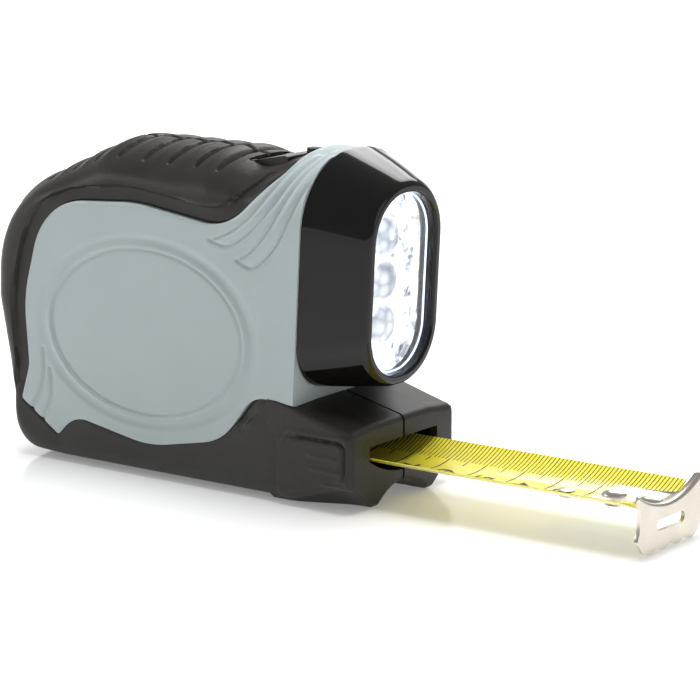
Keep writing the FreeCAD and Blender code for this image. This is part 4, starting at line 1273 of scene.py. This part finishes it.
def tick_rows():
    """Millimetre, half-centimetre and centimetre marks, as thin inlaid bars."""
    def bar(x, y0, y1, wide):
        cuts = 7
        vertices = []
        for i in range(cuts):
            y = mix(y0, y1, i / (cuts - 1))
            vertices += [(x - wide / 2, y, 0), (x + wide / 2, y, 0),
                         (x + wide / 2, y, INK_THICK), (x - wide / 2, y, INK_THICK)]
        faces = grid_faces(cuts, 4, wrap=True)
        faces += [(0, 1, 2, 3), (4 * cuts - 1, 4 * cuts - 2, 4 * cuts - 3, 4 * cuts - 4)]
        return loose_object("bar", vertices, faces)

    parts = []
    fine = int(ZERO_X - NOSE_REAR) - 2
    parts.append(row_mesh(bar(ZERO_X, 5.6, BLADE_HALF - 0.05, 0.2), fine, (-1, 0, 0), BLACK_INK))
    parts.append(row_mesh(bar(ZERO_X - 5, 3.6, 5.7, 0.26), fine // 10, (-10, 0, 0), BLACK_INK))
    parts.append(row_mesh(bar(ZERO_X - 10, -1.8, 5.7, 0.34), fine // 10, (-10, 0, 0), BLACK_INK))
    parts.append(row_mesh(bar(ZERO_X - 10, -BLADE_HALF + 0.1, -BLADE_HALF + 3.0, 0.3), fine // 10,
                          (-10, 0, 0), BLACK_INK))
    work = bmesh.new()
    for part in parts:
        work.from_mesh(part)
    mesh = bpy.data.meshes.new("ticks")
    work.to_mesh(mesh)
    work.free()
    red = row_mesh(bar(ZERO_X - 44.6, -7.4, -5.9, 0.3), 6, (-0.9, 0, 0), RED_INK)
    finish_mesh("scale_red", laid_on_blade(red, -0.005), "blade", RED_INK, flat=True)
    return finish_mesh("scale_ticks", laid_on_blade(mesh, -0.005), "blade", BLACK_INK,
                       flat=True)


tick_rows()


def figures():
    """Centimetre figures along the middle of the blade, read from the hook."""
    work = bmesh.new()
    for value in range(1, 8):
        curve = bpy.data.curves.new("figure", "FONT")
        curve.body = str(value)
        curve.size = 6.6 * MM
        curve.extrude = 0.02 * MM
        curve.offset = 0.1 * MM
        curve.align_x = "CENTER"
        curve.align_y = "CENTER"
        text = placed("figure", curve)
        mesh = baked(text)
        bpy.data.curves.remove(curve)
        for vertex in mesh.vertices:
            x, y, z = vertex.co
            vertex.co = Vector((y * 0.95 + (ZERO_X - value * 10 + 3.9) * MM, -x - 1.6 * MM, z))
        work.from_mesh(mesh)
    bmesh.ops.triangulate(work, faces=work.faces)
    bmesh.ops.subdivide_edges(work, edges=[e for e in work.edges if e.calc_length() > 1.2 * MM], cuts=2)
    mesh = bpy.data.meshes.new("figures")
    work.to_mesh(mesh)
    work.free()
    return finish_mesh("scale_figures", laid_on_blade(mesh, 0.01), "blade", BLACK_INK,
                       flat=True)


figures()

# ---------------------------------------------------------------- hook and rivets

HOOK_FACE = HOOK_HIGH.x
HOOK_HALF, HOOK_WALL, BEND = 12.9, 0.9, 0.8
LIP_RISE = 0.7


def hook_low(y):
    """Height of the hook's scalloped lower edge."""
    lobe = abs(math.sin(math.pi * (y + 11.2) / 5.6))
    return 1.15 - 1.0 * lobe ** 0.8 if abs(y) < 11.2 else 1.15 + 1.6 * (abs(y) - 11.2)


def hook_wide(z):
    """How much wider the hook is than its waist at a height."""
    return 0.75 * math.exp(-((z - 3.4) / 1.8) ** 2) - 0.25 * math.exp(-((z - 8.0) / 2.2) ** 2)


def hook_piece():
    """Pressed plate: scalloped foot, slot, rolled top edge and tongue under the rivets."""
    columns = 65
    plate = []
    rows_up, rows_bend, rows_lip = 26, 9, 12
    for j in range(columns):
        y0 = mix(-HOOK_HALF, HOOK_HALF, j / (columns - 1))
        low = hook_low(y0)
        high = blade_top(y0) + 0.95 + LIP_RISE - BEND
        line = []
        for i in range(rows_up):
            z = mix(low, high, i / (rows_up - 1))
            y = y0 * (1 + hook_wide(z) / HOOK_HALF)
            line.append((HOOK_FACE, y, z))
        for i in range(1, rows_bend + 1):
            turn = math.pi / 2 * i / rows_bend
            line.append((HOOK_FACE - BEND * (1 - math.cos(turn)), y0, high + BEND * math.sin(turn)))
        reach = 1.2 if abs(y0) > 6.2 else mix(HOOK_FACE - BEND - HOOK_LOW.x, 1.2, smooth(5.2, 6.2, abs(y0)))
        for i in range(1, rows_lip + 1):
            share = i / rows_lip
            drop = LIP_RISE * smooth(0.0, 2.6, reach * share)
            line.append((HOOK_FACE - BEND - reach * share, y0, high + BEND - drop))
        plate.append(line)
    rows = len(plate[0])
    vertices = [p for line in plate for p in line]
    shape = loose_object("plate", vertices, grid_faces(columns, rows))
    if sum(f.normal.x for f in shape.data.polygons) < 0:
        shape.data.flip_normals()
    solid = placed("hook_raw", walled(shape, HOOK_WALL))
    slot_line = []
    for side in (1, -1):
        for step in range(13):
            turn = math.pi / 2 - math.pi * step / 12
            slot_line.append((side * (4.6 + 1.2 * math.cos(turn)), 5.7 + side * 1.2 * math.sin(turn)))
    slot = loose_object("slot", *prism(slot_line, HOOK_FACE - 4, HOOK_FACE + 2, "X"))
    solid = cut(solid, [slot])
    return finish_mesh("hook_shell", softened(solid, 0.16, 50), "hook", NICKEL, ("hook",))


hook_piece()


def rivet_row():
    """Two domed rivets through the blade, with flat tails below, set by the node tree."""
    base = blade_top(0)
    profile = [(0.9, -1.3), (1.9, -1.26), (2.0, -1.1), (1.9, -0.85), (1.2, -0.8), (1.2, 0.7),
               (2.35, 0.75), (2.55, 0.95), (2.45, 1.25), (2.0, 1.6), (1.2, 1.85), (0.4, 1.92)]
    count = 36
    vertices = []
    for radius, z in profile:
        vertices += [(HOOK_FACE - 14.0 + radius * 1.12 * math.cos(2 * math.pi * i / count),
                      radius * math.sin(2 * math.pi * i / count), base + z) for i in range(count)]
    last = (len(profile) - 1) * count
    faces = grid_faces(len(profile), count, wrap=True)
    faces += [tuple(range(count))[::-1], tuple(range(last, last + count))]
    mesh = row_mesh(loose_object("rivet", vertices, faces), 2, (9.0, 0, 0), NICKEL)
    tail = [(0.6, -1.3), (1.6, -1.25), (1.8, -1.0), (1.8, -0.7), (1.2, -0.6), (1.2, 0.05), (1.9, 0.12),
            (1.95, 0.25), (1.3, 0.42), (0.3, 0.46)]
    work = bmesh.new()
    work.from_mesh(mesh)
    rings = []
    for radius, z in tail:
        rings.append([work.verts.new(Vector((HOOK_FACE - 26.0 + radius * math.cos(2 * math.pi * i / 28),
                                             radius * math.sin(2 * math.pi * i / 28), base + z)) * MM)
                      for i in range(28)])
    for lower, upper in zip(rings, rings[1:]):
        for i in range(28):
            j = (i + 1) % 28
            work.faces.new((lower[i], lower[j], upper[j], upper[i]))
    work.faces.new(rings[0][::-1])
    work.faces.new(rings[-1])
    mesh = bpy.data.meshes.new("rivets")
    work.to_mesh(mesh)
    work.free()
    return finish_mesh("rivet_set", mesh, "blade", NICKEL, ("hook_rivets",))


rivet_row()

# ---------------------------------------------------------------- belt clip


def clip_strap():
    """Sprung strap: fixed leg, rolled top, ribbed free leg with rounded, lifted toe."""
    low, high = box_mm("belt_clip")
    screw_low, screw_high = box_mm("clip_screw")
    half, wall = high.x, 1.0
    near, far = low.y + wall / 2, high.y - 1.9
    bend = rounded_path([(near, 39.0, 0.0), (near, high.z - wall / 2, 1.7), (far, high.z - wall / 2, 1.7),
                         (far, low.z + 6.2, 5.0), (far + 1.3, low.z + 0.2, 0.0)], 0.3, closed=False)
    path = resample(resample_keep(bend, 0.3), 170)
    columns = 49
    vertices = []
    for y, z in path:
        free = y > far - 0.3
        toe = max(0.0, (low.z + 5.0 - z) / 5.0) if free else 0.0
        reach = half - 4.0 + 4.0 * math.sqrt(max(0.0, 1 - toe * toe))
        for j in range(columns):
            x = mix(-reach, reach, j / (columns - 1))
            rib = 0.0
            if free:
                ends = smooth(low.z + 6.5, low.z + 9.5, z) * (1 - smooth(38.0, 41.0, z))
                rib = 0.55 * ends * (1 - smooth(1.0, 2.1, abs(abs(x) - 4.6)))
            vertices.append((x, y + rib, z))
    strap = loose_object("strap", vertices, grid_faces(len(path), columns))
    solid = placed("strap_solid", walled(strap, wall, 0.0))
    screw_z = (screw_low.z + screw_high.z) / 2
    access = loose_object("access", *prism(ring_points(2.5, 40, 0.0, screw_z), far - 2.0, far + 2.0, "Y"))
    solid = cut(solid, [access])
    return finish_mesh("clip_strap", softened(solid, 0.18, 60), "case", SPRING,
                       ("belt_clip",))


clip_strap()

# ---------------------------------------------------------------- floor, light and camera


def studio():
    """Pale glossy floor, large soft lights and the camera."""
    mesh = bpy.data.meshes.new("floor")
    reach = 4.0
    mesh.from_pydata([(-reach, -reach, 0), (reach, -reach, 0), (reach, reach, 0), (-reach, reach, 0)],
                     [], [(0, 1, 2, 3)])
    floor = placed("floor", mesh)
    floor.location.z = -0.0002
    material, tree, output = blank("pale_gloss_floor")
    noise = add(tree, "ShaderNodeTexNoise", {"Vector": object_space(tree, 60.0)}, Scale=1.0)
    rough = add(tree, "ShaderNodeMapRange", {"Value": noise.outputs["Fac"]},
                To_Min=0.10, To_Max=0.14)
    shader = add(tree, "ShaderNodeBsdfPrincipled",
                 {"Roughness": rough.outputs["Result"]})
    shader.inputs["Base Color"].default_value = srgb("f4f4f4")
    shader.inputs["Emission Color"].default_value = srgb("ffffff")
    place = add(tree, "ShaderNodeTexCoord")
    away = add(tree, "ShaderNodeVectorMath", {0: place.outputs["Object"]}, operation="LENGTH")
    lift = add(tree, "ShaderNodeMapRange", {"Value": away.outputs["Value"]},
               From_Min=0.3, From_Max=1.2, To_Min=0.2, To_Max=0.85)
    tree.links.new(lift.outputs["Result"], shader.inputs["Emission Strength"])
    tree.links.new(shader.outputs[0], output.inputs["Surface"])
    mesh.materials.append(material)

    world = bpy.data.worlds.new("studio")
    bpy.context.scene.world = world
    world.use_nodes = True
    world.node_tree.nodes["Background"].inputs["Color"].default_value = (1, 1, 1, 1)
    world.node_tree.nodes["Background"].inputs["Strength"].default_value = 0.34

    target = Vector((0.03, 0, 0.035))
    for name, place, wide, deep, power in (
            ("top_softbox", (-0.02, 0.1, 0.86), 0.42, 0.62, 8.5),
            ("back_softbox", (-0.18, 0.85, 0.66), 0.7, 0.45, 4.0),
            ("left_softbox", (-0.9, -0.6, 0.5), 0.5, 0.5, 2.6),
            ("right_softbox", (1.0, 0.1, 0.35), 0.5, 0.5, 0.7),
            ("horizon_card", (-0.8, 1.1, 0.16), 2.0, 0.4, 2.4)):
        light = bpy.data.lights.new(name, "AREA")
        light.shape = "RECTANGLE"
        light.size, light.size_y = wide, deep
        light.energy = power
        lamp = placed(name, light)
        lamp.location = place
        lamp.visible_camera = False
        lamp.visible_glossy = name != "top_softbox"
        lamp.visible_diffuse = name != "horizon_card"
        lamp.rotation_euler = (target - Vector(place)).to_track_quat("-Z", "Y").to_euler()

    camera = bpy.data.cameras.new("camera")
    camera.lens = 154.3
    camera.sensor_width = 36.0
    camera.clip_end = 20.0
    view = placed("camera", camera)
    view.location = (0.43423, -0.53379, 0.17261)
    view.rotation_euler = (math.radians(90 - 12.0), 0, math.radians(36.2))
    bpy.context.scene.camera = view
    bpy.context.scene.view_settings.view_transform = "Standard"


studio()
